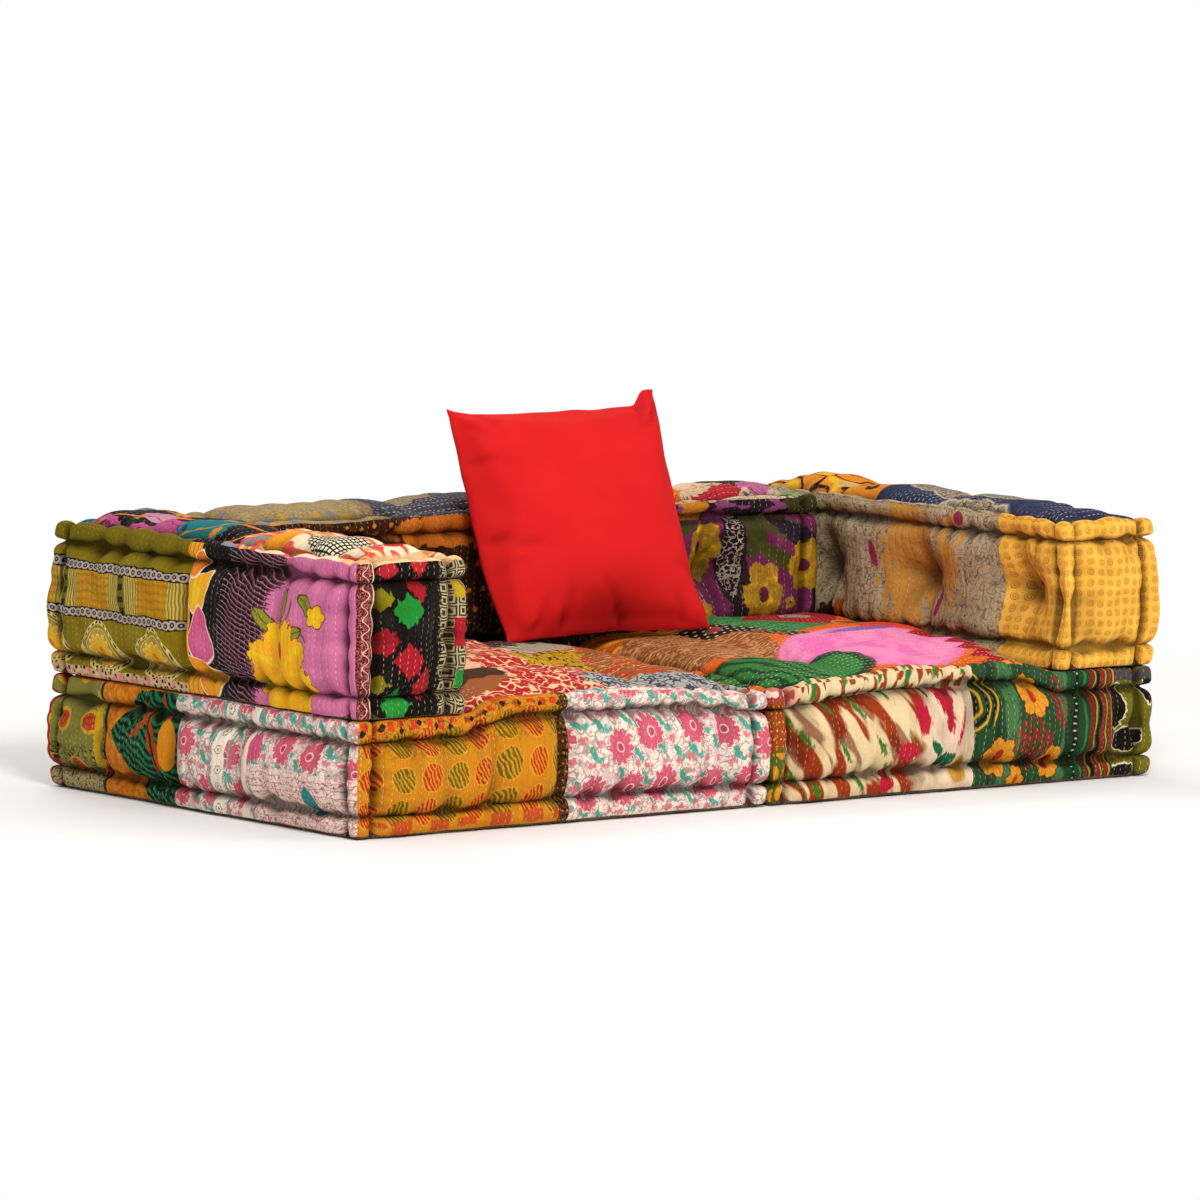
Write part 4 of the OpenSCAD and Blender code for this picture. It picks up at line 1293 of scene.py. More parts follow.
@printed("ebdedc")
def rose_border(c):
    """The rose cloth of the left side, with curved border stripes and a printed hem."""
    rose_ground(c)
    pink, teal = "c4708c", "5fa89f"
    bend = c.u - c.v / BASE_H * 0.030
    c.bands(bend, (
        (0.455, 0.026, "efe6de"), (0.432, 0.0022, pink), (0.437, 0.0030, teal), (0.474, 0.0030, teal),
        (0.479, 0.0016, pink), (0.520, 0.020, "f0e3de"), (0.540, 0.0035, "4f9f92"), (0.502, 0.0016, pink),
    ))
    vine = Spot(bend - 0.455, again(c.v, 0.030))
    c.lay(abs(vine.flower(0.007, 6)) - 0.0007, "5d6a66")
    c.lay(vine.disc(0.0018), "5d6a66")
    hem = (c.v - 0.092).higher(0.552 - c.u)
    c.lay(hem, "e6d6d2")
    net = abs(c.grain(0.010, 1.5, shift=3.0) - 0.5)
    c.lay((net - 0.035).higher(hem), "b87484", 0.02)
    c.lay(bars(c.v, 0.011, 0.064).higher(hem), "c07a8c", 0.0008, 0.7)
    c.lay(c.at(0.700, 0.052).drop(0.017, 0.024), "2f8a92", 0.003)
    c.lay(abs(c.at(0.700, 0.052).drop(0.023, 0.030)) - 0.0009, "b8607a")
    c.lay(c.at(0.565, 0.118).oval(0.018, 0.020), "cc5a84")
    return c.finish(thread="fbf6ee")


@printed("c8860a")
def ochre_coins(c):
    """Mustard cloth with rows of striped circles, by turns red and olive."""
    pitch_u = 0.0505
    pitch_v = 0.0515
    c.lay(c.above(0.016, 0.47, 2.0, shift=4.0, slope=0.02), "c58a12", 0.006, 0.6)
    across = c.u - (c.v - 0.09) * 0.05
    by_turns = ((across / pitch_u).floor() / 2).fract() * 2
    coin = Spot(again(across, pitch_u), again(c.v - 0.012, pitch_v))
    shape = coin.oval(0.0190, 0.0200) + c.wobble(0.006, 0.003)
    body = shape.higher(0.014 - c.v).higher(c.v - 0.166)
    c.lay(body - 0.0012, "dca426")
    c.lay(body, "cc9412")
    slanted = coin.turned(0.5).x + c.wobble(0.012, 0.006, shift=6.0)
    dye = c.mix(by_turns.clamped(), ink("b82408"), ink("70600c"))
    c.lay(bars(slanted, 0.0062, 0.29).higher(body), dye, 0.0014)
    blobs = c.tiles(0.024, 0.02, 0.5, 0.004)
    c.lay(blobs.box(0.0058, 0.0078).higher(0.158 - c.v) + c.wobble(0.004, 0.004), "c8461e", 0.0015)
    c.lay(c.tiles(0.033, 0.022, 0.3, 0.005).flower(0.0048, 4).higher(0.148 - c.v), "2a2214")
    c.lay((c.v - 0.024).higher(c.tiles(0.060, 0.04, 0.0, 0.008).box(0.018, 0.012)), "b8401c", 0.003, 0.8)
    c.lay(abs(c.grain(0.014, shift=14.0) - 0.5).higher(0.145 - c.v) - 0.02, "5a3a14", 0.02, 0.7)
    return c.finish(row=0.0125)


@printed("5c3a14")
def selvedge(c):
    """The dark brown woven edge of the mustard cloth."""
    c.lay(c.tiles(0.0055, 0.0085, 0.5, 0.001).disc(0.0019), "1d1208")
    c.lay(c.tiles(0.0075, 0.0125, 0.5, 0.002).disc(0.0014), "c98a1c")
    return c.finish(strength=0.3)


@printed("e4d2b0")
def brush_ikat(c):
    """Cream cloth with slanting rust strokes, green touches and crimson splashes."""
    crimson, green = "b8183c", "1c6a4a"
    c.lay(c.above(0.030, 0.49, 2.0, shift=2.0, slope=0.02), "d8bb92", 0.01, 0.6)
    for shift, level, dye, strength in ((4.0, 0.505, "9c3c12", 1.0), (4.1, 0.560, "7c2a0c", 0.75)):
        strokes = c.above(0.038, level, 1.6, stretch=(0.75, 3.0), shift=shift, turn=0.62)
        c.lay(strokes, dye, 0.006, strength)
    feather = c.wobble(0.004, 0.008, stretch=(1.0, 3.0), shift=2.0)
    touches = c.tiles(0.068, 0.056, 0.5, 0.014)
    c.lay(touches.turned(0.65).oval(0.0048, 0.018) + feather, "3f7a2a", 0.003)
    c.lay(0.300 - c.u + c.wobble(0.03, 0.05), "e6d3c2", 0.02, 0.85)
    c.ovals((
        (0.352, 0.140, 0.020, 0.034, -0.2, crimson), (0.372, 0.160, 0.012, 0.022, 0.4, crimson),
        (0.296, 0.108, 0.013, 0.026, 0.2, crimson), (0.268, 0.062, 0.020, 0.014, 0.1, crimson),
        (0.360, 0.108, 0.009, 0.026, -0.1, crimson), (0.388, 0.092, 0.006, 0.030, -0.5, crimson),
        (0.240, 0.020, 0.014, 0.016, 0.0, crimson), (0.328, 0.158, 0.008, 0.022, 0.3, crimson),
    ), feather * 1.3, 0.0025)
    c.ovals((
        (0.352, 0.045, 0.020, 0.010, 0.3, green), (0.330, 0.060, 0.018, 0.006, -0.8, green),
        (0.305, 0.155, 0.008, 0.022, 0.5, green),
    ), feather, 0.002)
    c.lay(c.at(0.385, 0.030).oval(0.018, 0.018), "c79a3c", 0.004)
    return c.finish()


@printed("9c4a1c")
def rust_roll(c):
    """The strip at the meeting of the two bases: rust, then green and gold."""
    c.lay((c.v - 0.085) + c.wobble(0.02, 0.02), "5c6a1c", 0.004)
    c.lay(c.tiles(0.03, 0.034, 0.5, 0.004).oval(0.0085, 0.012).higher(c.v - 0.08), "d9951c")
    c.lay(c.tiles(0.008, 0.012, 0.5).disc(0.0014).higher(0.09 - c.v), "e8b04a")
    c.lay(0.160 - c.v, "a3385a")
    c.lay((0.160 - c.v).higher(c.tiles(0.02, 0.02, 0.5).disc(0.006)), "e6cfc0")
    return c.finish()


@printed("285234")
def green_bands(c):
    """Green banded cloth with yellow flowers and dark red branches, then wavy stripes."""
    arc_pitch = 0.0135
    dot_pitch = 0.011
    hem = 0.6340
    for at, half, dye, soft in (
        (0.480, 0.014, "4c7c52", 0.004), (0.452, 0.006, "20402a", 0.003), (0.600, 0.012, "4c7c52", 0.004),
    ):
        c.lay(abs(c.u - at) - half, dye, soft)
    c.lay(abs(c.grain(0.012, 1.5, stretch=(0.5, 2.0), shift=3.0) - 0.5) - 0.03, "1b3a22", 0.03, 0.6)
    vine = c.veins(0.013, 0.062, 2.0, shift=9.0, slope=0.1)
    red_field = (c.at(0.525, 0.060).oval(0.048, 0.040)).lower(c.at(0.590, 0.128).oval(0.020, 0.042))
    c.lay(vine.higher(red_field), "9c1f22", 0.0015)
    curve = c.at(0.392, 0.120)
    c.lay(bars(curve.radius(), arc_pitch, 0.12).higher(curve.oval(0.064, 0.052)), "cfa01c")
    between = bars(curve.radius() + 0.42 * arc_pitch, arc_pitch, 0.14)
    c.lay(between.higher(curve.oval(0.058, 0.050)), "15180f")
    for pu, pv, r in (
        (0.528, 0.128, 0.030), (0.462, 0.045, 0.028), (0.575, 0.035, 0.026), (0.505, 0.010, 0.020),
    ):
        bloom = c.at(pu, pv)
        shape = bloom.flower(r, 6, 0.24, 0.3) + c.wobble(0.006, 0.006)
        c.lay(shape - 0.002, "3d2a14", 0.003, 0.8)
        c.lay(shape, "dc981c")
        rays = abs((bloom.angle() * 6).sin()) * 0.006 - 0.0012
        c.lay(rays.higher(shape), "b56a14", 0.003, 0.8)
        c.lay(bloom.oval(r * 0.24, r * 0.34), "b4341c")
    wave = c.u + (c.v / 0.16 * 3.14).sin() * 0.006
    c.lay(0.618 - wave, "1d4a30")
    c.bands(wave, (
        (hem, 0.006, "102418"), (0.650, 0.005, "3c7a44"), (0.662, 0.0060, "8c181c"),
        (0.6700, 0.0030, "c08c1a"), (0.6775, 0.0065, "14140f"), (0.6860, 0.0060, "9c1c1a"),
        (0.6935, 0.0030, "c08c1a"), (0.703, 0.0070, "a01c1a"), (0.712, 0.0035, "c8961e"),
    ))
    c.lay(Spot(wave - hem, again(c.v, dot_pitch)).disc(0.0016), "b9c4a4")
    c.lay(0.717 - wave, "14140f")
    return c.finish(row=0.0125)


@printed("74701c")
def olive_corner(c):
    """Olive cloth with large black leaves edged in white."""
    for pu, pv, ru, rv, turn in (
        (0.722, 0.118, 0.016, 0.034, 0.1), (0.745, 0.062, 0.026, 0.020, 0.2),
        (0.788, 0.150, 0.012, 0.030, 0.0), (0.735, 0.012, 0.026, 0.012, 0.0),
    ):
        leaf = c.at(pu, pv, turn).oval(ru, rv) + c.wobble(0.008, 0.006)
        c.lay(leaf - 0.0018, "e2dcc0")
        c.lay(leaf, "111110")
    c.lay(0.158 - c.v, "4e4c52")
    return c.finish()


@printed("54300f")
def brown_blossom(c):
    """Dark brown cloth with dull orange blossoms."""
    blooms = c.tiles(0.085, 0.080, 0.5, 0.012)
    buds = c.tiles(0.030, 0.034, 0.4, 0.006)
    c.lay(blooms.flower(0.026, 6, 0.25) + c.wobble(0.01, 0.008), "a5641c", 0.002)
    c.lay(blooms.disc(0.007), "5c2412")
    c.lay(c.above(0.020, 0.40, 2.0, shift=6.0), "3a1c0c", 0.01)
    c.lay(buds.disc(0.0042), "c07a24")
    c.lay(buds.moved(0.011, 0.008).disc(0.0034), "1d1410")
    c.lay(c.at(0.400, 0.212).oval(0.085, 0.026) + c.wobble(0.02, 0.02, shift=9.0), "c8761c", 0.003)
    return c.finish()


@printed("8e3874")
def purple_garden(c):
    """Purple cloth with big yellow flowers, olive and navy leaves and white scrolls."""
    c.ovals((
        (1.105, 0.190, 0.075, 0.017, -0.40, "5a6414"), (1.150, 0.168, 0.070, 0.016, -0.45, "1d2638"),
        (1.045, 0.175, 0.030, 0.040, 0.2, "4c5a16"), (1.020, 0.120, 0.024, 0.090, 0.1, "2a2a1c"),
        (1.095, 0.140, 0.050, 0.014, -0.5, "5a6414"), (0.905, 0.200, 0.030, 0.020, 0.3, "4c5a16"),
        (1.185, 0.060, 0.012, 0.100, 0.0, "20201c"), (1.120, 0.225, 0.060, 0.014, 0.0, "20242c"),
    ), c.wobble(0.015, 0.012), 0.0015)
    scroll = c.veins(0.009, 0.045, 2.0, shift=5.0, slope=0.05)
    c.lay(c.at(1.015, 0.150).oval(0.020, 0.080), "17161a")
    c.lay(scroll.higher(c.at(1.015, 0.150).oval(0.017, 0.076)), "cfc8be", 0.0008)
    c.lay(scroll.higher(c.at(0.945, 0.075).oval(0.024, 0.024)), "cfc8be", 0.0008)
    ragged = c.wobble(0.010, 0.010)
    streaks = c.above(0.010, 0.46, 2.0, stretch=(1.0, 2.0), shift=6.0)
    for pu, pv, ru, rv, petals in (
        (0.962, 0.152, 0.038, 0.058, 7), (1.070, 0.078, 0.038, 0.054, 6), (1.158, 0.122, 0.040, 0.046, 6),
        (0.955, 0.030, 0.036, 0.044, 6), (0.980, 0.226, 0.036, 0.018, 5), (1.125, 0.062, 0.012, 0.012, 5),
    ):
        place = c.at(pu, pv)
        bloom = Spot(place.x / ru, place.y / rv)
        shape = bloom.flower(1.0, petals, 0.22) * ru + ragged
        c.lay(shape, "f0c418", 0.0015)
        c.lay(streaks.higher(shape), "c09214", 0.006, 0.6)
        c.lay(bloom.disc(0.24) * ru, "7a3a4c")
    c.lay(c.above(0.030, 0.32, shift=2.0), "3c1838", 0.01, 0.4)
    return c.finish(row=0.0155)


@printed("bdaf96")
def taupe_scrolls(c):
    """Grey beige cloth with fine dark scrolls, magenta leaves and mustard strokes."""
    leaf_dye = "93335c"
    c.lay(c.above(0.050, 0.44, 2.0, shift=8.0), "a8987e", 0.02, 0.5)
    c.scribble(0.014, 0.030, "6a5a4e", 1.0, 0.75)
    c.scribble(0.0095, 0.024, "8a7866", 9.0, 0.6)
    mustard = c.at(0.405, 0.150).oval(0.050, 0.120).lower(c.at(0.520, 0.150).oval(0.030, 0.060))
    ragged = c.wobble(0.020, 0.10, 2.0, stretch=(0.6, 1.5), shift=3.0)
    c.lay(mustard + ragged, "cf9430", 0.004, 0.8)
    c.ovals((
        (0.335, 0.150, 0.007, 0.024, 0.35, leaf_dye), (0.480, 0.085, 0.007, 0.026, -0.1, leaf_dye),
        (0.545, 0.225, 0.012, 0.010, 0.0, leaf_dye), (0.655, 0.135, 0.008, 0.012, 0.2, leaf_dye),
        (0.575, 0.020, 0.012, 0.012, 0.0, leaf_dye),
    ))
    c.lay(c.at(0.215, 0.030).oval(0.045, 0.030) + c.wobble(0.02, 0.03), "3a2a1c", 0.004)
    c.lay(c.at(0.245, 0.045).box(0.013, 0.022), "a5501c", 0.003)
    return c.finish(row=0.013, strength=0.5)


@printed("f4c258")
def amber_spirals(c):
    """Amber cloth with small brown spirals in a grid."""
    pitch = 0.0165
    turn_gap = 0.0027
    c.lay(c.above(0.040, 0.44, 2.0, shift=8.0), "e2a63a", 0.02, 0.4)
    tile = c.tiles(pitch, pitch)
    curl = bars(tile.radius() + tile.angle() * (turn_gap / (2 * math.pi)), turn_gap, 0.24)
    c.lay(curl.higher(tile.disc(0.0058)), "a0661c", 0.0008, 0.75)
    between = Spot(again(c.u + pitch / 2, pitch), again(c.v + pitch / 2, pitch))
    c.lay(between.disc(0.0012), "f2cf70", strength=0.4)
    return c.finish(row=pitch, thread="f0c060", strength=0.5)


@printed("7c6e08")
def olive_roll(c):
    """Plain olive cloth, as on the left arm's top roll."""
    c.lay(c.above(0.020, 0.44, 2.0, shift=8.0), "75690e", 0.015, 0.6)
    return c.finish(thread="cdb94c", strength=0.6)


@printed("17171c")
def teal_carnival(c):
    """Black cloth with big teal, pink, orange and red shapes."""
    ragged = c.wobble(0.02, 0.02)
    for pu, pv, ru, rv, turn, dye in (
        (0.020, 0.720, 0.030, 0.070, 0.0, "c45a9c"), (0.035, 0.565, 0.030, 0.080, 0.0, "c45a9c"),
        (0.070, 0.470, 0.060, 0.055, 0.2, "15808c"), (0.100, 0.620, 0.030, 0.060, 0.4, "c890b4"),
        (0.140, 0.740, 0.040, 0.050, -0.3, "15808c"), (0.060, 0.780, 0.030, 0.020, 0.0, "15808c"),
        (0.160, 0.540, 0.030, 0.040, 0.4, "15808c"), (0.165, 0.440, 0.040, 0.045, 0.2, "b81c28"),
        (0.170, 0.640, 0.030, 0.030, 0.0, "c890b4"),
    ):
        shape = c.at(pu, pv, turn).oval(ru, rv) + ragged
        c.lay(shape, dye, 0.0015)
        c.lay(abs(shape + 0.010) - 0.0012, "111214", 0.001, 0.7)
    c.lay(bars(c.at(0.08, 0.60, 0.5).x, 0.055, 0.05) + c.wobble(0.03, 0.01), "dc8a1c", 0.0012)
    c.lay(c.tiles(0.090, 0.100, 0.5, 0.02).flower(0.012, 5), "dc8a1c", 0.0012)
    return c.finish(along="u", row=0.013)


@printed("f0e2c8")
def cream_swirls(c):
    """Cream cloth with orange and coral swirls and a black and white check."""
    c.lay(c.at(0.02, 0.33, 0.2).oval(0.10, 0.045) + c.wobble(0.03, 0.02), "6f7ba0", 0.004, 0.8)
    flow = c.grain(0.040, 1.0, stretch=(1.0, 2.0), shift=2.0)
    c.lay(flow * -0.1 + 0.050, "e8912c", 0.004)
    c.lay(abs(flow - 0.5) - 0.035, "dc5a58", 0.02)
    c.lay(abs(flow - 0.58) - 0.012, "f8e9d0", 0.02)
    c.lay(c.at(0.06, 0.275).oval(0.035, 0.030), "eaa021", 0.003)
    area = c.at(0.080, 0.145, 0.15).oval(0.044, 0.070)
    c.lay(area, "17150f")
    c.lay(c.tiles(0.0085, 0.0085).box(0.0027, 0.0027).higher(area), "f0ead8")
    c.lay(c.at(0.12, 0.09).oval(0.030, 0.022), "b81c28", 0.003)
    c.lay(c.v - 0.050 + c.wobble(0.03, 0.02), "e9b48a", 0.004)
    c.lay((c.v - 0.045).higher(c.above(0.02, 0.45, shift=5.0)), "f2dcb4", 0.01, 0.7)
    lines = bars(c.u - 0.17 + (c.v * 25).sin() * 0.008, 0.010, 0.22)
    c.lay(lines.higher(0.155 - c.u).higher(0.12 - c.v), "4a1c3c", 0.001)
    return c.finish(along="u", row=0.013)


@printed("a8946c")
def straw_weave(c):
    """Grey straw cloth with small blue and yellow touches."""
    c.scribble(0.012, 0.035, "8a7658", 2.0, 0.7)
    blue = c.tiles(0.045, 0.030, 0.5, 0.010).oval(0.0100, 0.0060) + c.wobble(0.005, 0.006)
    yellow = c.tiles(0.060, 0.035, 0.5, 0.012).oval(0.0080, 0.0050)
    c.lay(blue, "7c86a0", 0.002, 0.7)
    c.lay(yellow, "c9a03c", 0.002, 0.8)
    c.lay(c.u - 0.035, "93a05c", 0.004, 0.8)
    return c.finish(along="u", row=0.008)


@printed("8c7a5c")
def navy_straw(c):
    """The back's top behind the left arm: navy, then straw."""
    edge = c.u - 0.285 + (c.v - 0.1) * 0.3 + c.wobble(0.04, 0.05)
    c.lay(-edge, "484c62", 0.003)
    field = c.at(0.420, 0.125, 0.2).oval(0.060, 0.050) + c.wobble(0.04, 0.05, shift=3.0)
    c.lay(field, "8f8468", 0.003)
    c.lay(abs(field) - 0.0025, "23263a", 0.002, 0.8)
    c.scribble(0.014, 0.020, "b4ac98", 2.0, 0.4)
    return c.finish(along="u", row=0.009, strength=1.0)


@printed("cdb9a0")
def fruit_bits(c):
    """Cream, orange, pink and red shapes along the back's top."""
    c.ovals((
        (0.88, 0.08, 0.050, 0.080, 0.0, "d9781c"), (0.96, 0.10, 0.045, 0.060, 0.3, "d8b8a0"),
        (1.01, 0.05, 0.060, 0.018, 0.2, "b8283c"), (1.00, 0.13, 0.050, 0.030, -0.2, "e8c8b0"),
        (1.06, 0.10, 0.030, 0.060, 0.4, "241c1c"), (1.09, 0.06, 0.035, 0.022, 0.0, "b86a9c"),
        (1.11, 0.15, 0.030, 0.040, 0.1, "c22c38"), (1.17, 0.10, 0.030, 0.070, 0.0, "84a878"),
        (1.16, 0.02, 0.050, 0.020, 0.0, "3a3a18"),
    ), c.wobble(0.018, 0.018), 0.0015)
    c.scribble(0.020, 0.018, "2c1c1c", 2.0, 0.8)
    return c.finish(along="u", row=0.010)


@printed("8a4a84")
def purple_roll(c):
    """The top roll of the back's front: purple and black lines, orange and olive ends."""
    ragged = c.wobble(0.02, 0.02)
    c.lay(c.above(0.020, 0.46, stretch=(2.0, 1.0), shift=4.0), "2c1c2c", 0.003)
    c.lay(abs(c.u - 0.93) - 0.030 + ragged, "c8861c", 0.003)
    c.lay(abs(c.u - 1.15) - 0.035 + ragged, "3c401c", 0.003)
    return c.finish(row=0.012)


@printed("dc8c1c")
def amber_black(c):
    """Orange yellow shapes with black outlines, as on the right arm's far top."""
    shape = c.grain(0.060, shift=6.0)
    c.lay(abs(shape - 0.5) - 0.030, "1c1410", 0.02)
    c.lay(shape * -0.1 + 0.058, "e4b81c", 0.004)
    c.lay(shape * -0.1 + 0.066, "b8ac90", 0.004)
    return c.finish(along="u", row=0.011)


@printed("3a456e")
def navy_floral(c):
    """Navy cloth with a grey beige floral field, as on the right arm's top."""
    field = c.at(0.150, 0.350, 0.1).oval(0.070, 0.190).lower(c.at(0.03, 0.26).oval(0.030, 0.090))
    field = field.lower(c.at(0.10, 0.010).oval(0.12, 0.028)) + c.wobble(0.04, 0.03)
    c.lay(c.above(0.010, 0.44, shift=4.0), "2c3352", 0.01, 0.7)
    c.lay(field, "9f9484", 0.003)
    c.lay(c.veins(0.008, 0.050, 1.5, shift=8.0, slope=0.1).higher(field), "5c5248", 0.002)
    c.lay(abs(field + 0.004) - 0.0016, "cfc4b4", 0.001, 0.8)
    return c.finish(along="u", row=0.009, strength=1.0)


@printed("b8242c")
def seat_red_mix(c):
    """The top of the left base: red, stripes, yellow, tan, grey blue and plum, in bold shapes."""
    ragged = c.wobble(0.022, 1.0, 2.0, shift=2.0)
    c.lay(c.veins(0.022, 0.045, shift=4.0), "ecc9a2", 0.0015)
    c.lay(c.at(0.30, 0.13, 0.3).oval(0.075, 0.055) + ragged * 0.03, "4a3022", 0.003)
    c.lay(c.at(0.30, 0.09, 0.3).oval(0.060, 0.020) + ragged * 0.02, "a2603a", 0.003)
    c.lay(c.at(0.34, 0.21, 0.3).oval(0.060, 0.028) + ragged * 0.03, "e4b89c", 0.003)
    striped = c.at(0.655, 0.425).box(0.075, 0.060) + ragged * 0.01
    c.lay(striped, "d9d0bc")
    c.lay(c.stripes(0.0080, 0.42, 0.5).higher(striped), "3c3634")
    yellow = c.at(0.605, 0.270, 0.5).oval(0.120, 0.075) + ragged * 0.02
    c.lay(yellow, "c9a018")
    c.lay(c.veins(0.020, 0.030, stretch=(0.6, 1.6), shift=7.0).higher(yellow), "24301c", 0.0015)
    tan = 0.640 - c.u + (c.v - 0.25) * 0.5 + ragged * 0.06
    c.lay(tan.higher(c.v - 0.45), "94602c", 0.003)
    c.lay(c.veins(0.030, 0.06, stretch=(2.0, 0.6), shift=12.0).higher(tan), "c2401c", 0.003)
    c.lay(c.veins(0.022, 0.02, stretch=(2.0, 0.6), shift=18.0).higher(tan), "d9b078", 0.002)
    grey = c.at(0.640, 0.075, -0.05).oval(0.150, 0.042) + ragged * 0.03
    c.lay(grey, "b2aeb0", 0.002)
    c.lay(c.veins(0.016, 0.06, 1.5, shift=22.0).higher(grey), "3f4f68", 0.0015)
    c.lay(0.440 - c.v + ragged * 0.05, "40182c", 0.006, 0.9)
    return c.finish(along="u", strength=1.0)


@printed("dc6a14")
def seat_bright_mix(c):
    """The top of the right base: brown and pink mounds, greens, a dotted border, orange and red."""
    ragged = c.wobble(0.022, 1.0, 2.0, shift=2.0)
    fine = c.veins(0.014, 0.05, 2.0, stretch=(2.4, 0.6), shift=6.0)
    c.lay(c.stripes(0.030, 0.35, 0.9, 0.030).higher(0.40 - c.v), "ecb01c", 0.003)
    c.lay(c.at(0.520, 0.300).oval(0.090, 0.130) + ragged * 0.05, "dc3c14", 0.003)
    leaf = c.at(0.500, 0.350, 0.8).oval(0.022, 0.060)
    c.lay(leaf - 0.004, "e0b41c", 0.001)
    c.lay(leaf, "4c5a1c", 0.002)
    far_green = c.at(0.330, 0.440).oval(0.130, 0.120) + ragged * 0.02
    c.lay(far_green, "2c7a44", 0.002)
    c.lay(fine.higher(far_green), "4c9c5c", 0.002)
    c.lay(c.at(0.430, 0.470).diamond(0.105, 0.100), "a81420", 0.002)
    c.lay(c.at(0.440, 0.470).disc(0.026), "a9aaa0", 0.001)
    c.lay(abs(c.at(0.440, 0.470).disc(0.016)) - 0.002, "5c5c58", 0.001)
    c.lay(c.at(0.250, 0.420).disc(0.022), "b8142c", 0.002)
    brown = c.at(0.115, 0.330, 0.1).oval(0.135, 0.130) + ragged * 0.02
    c.lay(brown, "985a30", 0.002)
    c.lay(fine.higher(brown), "cc9a68", 0.003)
    border = (abs(c.at(0.215, 0.270, 0.1).oval(0.085, 0.170)) - 0.022).higher(0.18 - c.u)
    ovals = c.tiles(0.052, 0.050)
    c.lay(border, "2a0c14", 0.001)
    c.lay(c.tiles(0.014, 0.014, 0.5).disc(0.0028).higher(border), "e4c8b8")
    c.lay(ovals.oval(0.012, 0.010).higher(border + 0.006), "b81c34")
    c.lay(abs(ovals.oval(0.014, 0.012)).higher(border + 0.004) - 0.0012, "2f8c4c", 0.001)
    pink = c.at(0.350, 0.170, -0.05).oval(0.160, 0.120) + ragged * 0.006
    c.lay(pink, "e478bc", 0.002)
    c.lay(c.above(0.05, 0.46, 2.0, shift=9.0).higher(pink), "ee9ccc", 0.02, 0.7)
    c.lay(c.at(0.400, 0.262).oval(0.070, 0.016), "6c5cb0", 0.006, 0.8)
    green = c.at(0.120, 0.110, -0.12).oval(0.150, 0.078) + ragged * 0.012
    c.lay(green, "3a8244", 0.002)
    slashes = c.stripes(0.024, 0.42, 0.55, 0.015)
    c.lay(slashes.higher(green).higher(c.u - 0.16), "12402a", 0.004, 0.85)
    c.lay(abs(green) - 0.006, "14402c", 0.003, 0.9)
    rust = c.at(0.175, 0.020, -0.05).oval(0.110, 0.022) + ragged * 0.01
    c.lay(rust, "b0561c", 0.002)
    c.lay(bars(c.v, 0.008, 0.2).higher(rust), "e0a050", 0.001)
    jag = 0.485 - c.u + (abs((c.v / 0.030).fract() - 0.5) - 0.25) * 0.07
    inner_jag = (jag + 0.040).higher(c.v - 0.22)
    c.lay(jag.higher(c.v - 0.24), "a81828", 0.002)
    c.lay(inner_jag, "b89468", 0.003)
    c.lay(c.veins(0.010, 0.05, shift=31.0).higher(inner_jag), "8c6a44", 0.002)
    return c.finish(along="u", row=0.0110, strength=1.0)


@printed("dfcfae")
def cream_strokes(c):
    """The top roll of the right base's front, cream with brown and green strokes."""
    c.lay(c.above(0.020, 0.56, stretch=(0.7, 2.0), shift=2.0), "9c4a1c", 0.003)
    c.lay(c.tiles(0.062, 0.05, jitter=0.01).turned(-0.4).oval(0.005, 0.02), "3f7a3a", 0.003)
    c.lay(c.u - 0.05, "b8304c", 0.02, 0.7)
    return c.finish()


@printed("5c4c3c")
def plain_brown(c):
    """The plain brown cloth of the undersides."""
    return c.finish(fade=0.2)


def make_prints():
    return {name: make(Cloth(name, ground)) for name, (ground, make) in PRINTS.items()}


def strips(cuts, prints, v0=0.0, v1=FAR):
    """Cloths side by side along u: the places of their joins and their prints."""
    ends = [0.0, *cuts, FAR]
    return [(ends[k], ends[k + 1], v0, v1, name) for k, name in enumerate(prints)]


def sideways(cuts, prints, u0=0.0, u1=FAR):
    """Cloths one behind another along v."""
    ends = [0.0, *cuts, FAR]
    return [(u0, u1, ends[k], ends[k + 1], name) for k, name in enumerate(prints)]


def whole(name):
    """One cloth over a whole face."""
    return strips((), (name,))


def dress_base_left(c):
    front = ((0.383, 0.402), ("ochre_coins", "selvedge", "rose_paisley"))
    side_roll = ((BASE_D - 0.336, BASE_D - 0.149), ("rose_border", "ochre_zigzag", "olive_suns"))
    c.patches[FRONT] = strips(*front)
    c.patches[LEFT] = strips((0.149, 0.336), ("olive_suns", "ochre_zigzag", "rose_border"))
    c.patches[RIGHT] = whole("rose_paisley")
    c.patches[REAR] = strips((0.30, 0.52), ("brown_blossom", "ochre_coins", "rose_paisley"))
    c.patches[BOTTOM] = whole("plain_brown")
    c.patches[TOP] = whole("seat_red_mix") + sideways(*side_roll, 0.0, ROLL) + strips(*front, 0.0, ROLL)
    c.channels[LEFT] = [(BASE_D - 0.149, 0.013), (BASE_D - 0.336, 0.010), (BASE_D - 0.505, 0.007)]
    c.channels[FRONT] = [(0.255, 0.007), (0.392, 0.015), (0.700, 0.006)]
    c.channels[REAR] = [(0.270, 0.008), (0.530, 0.008)]


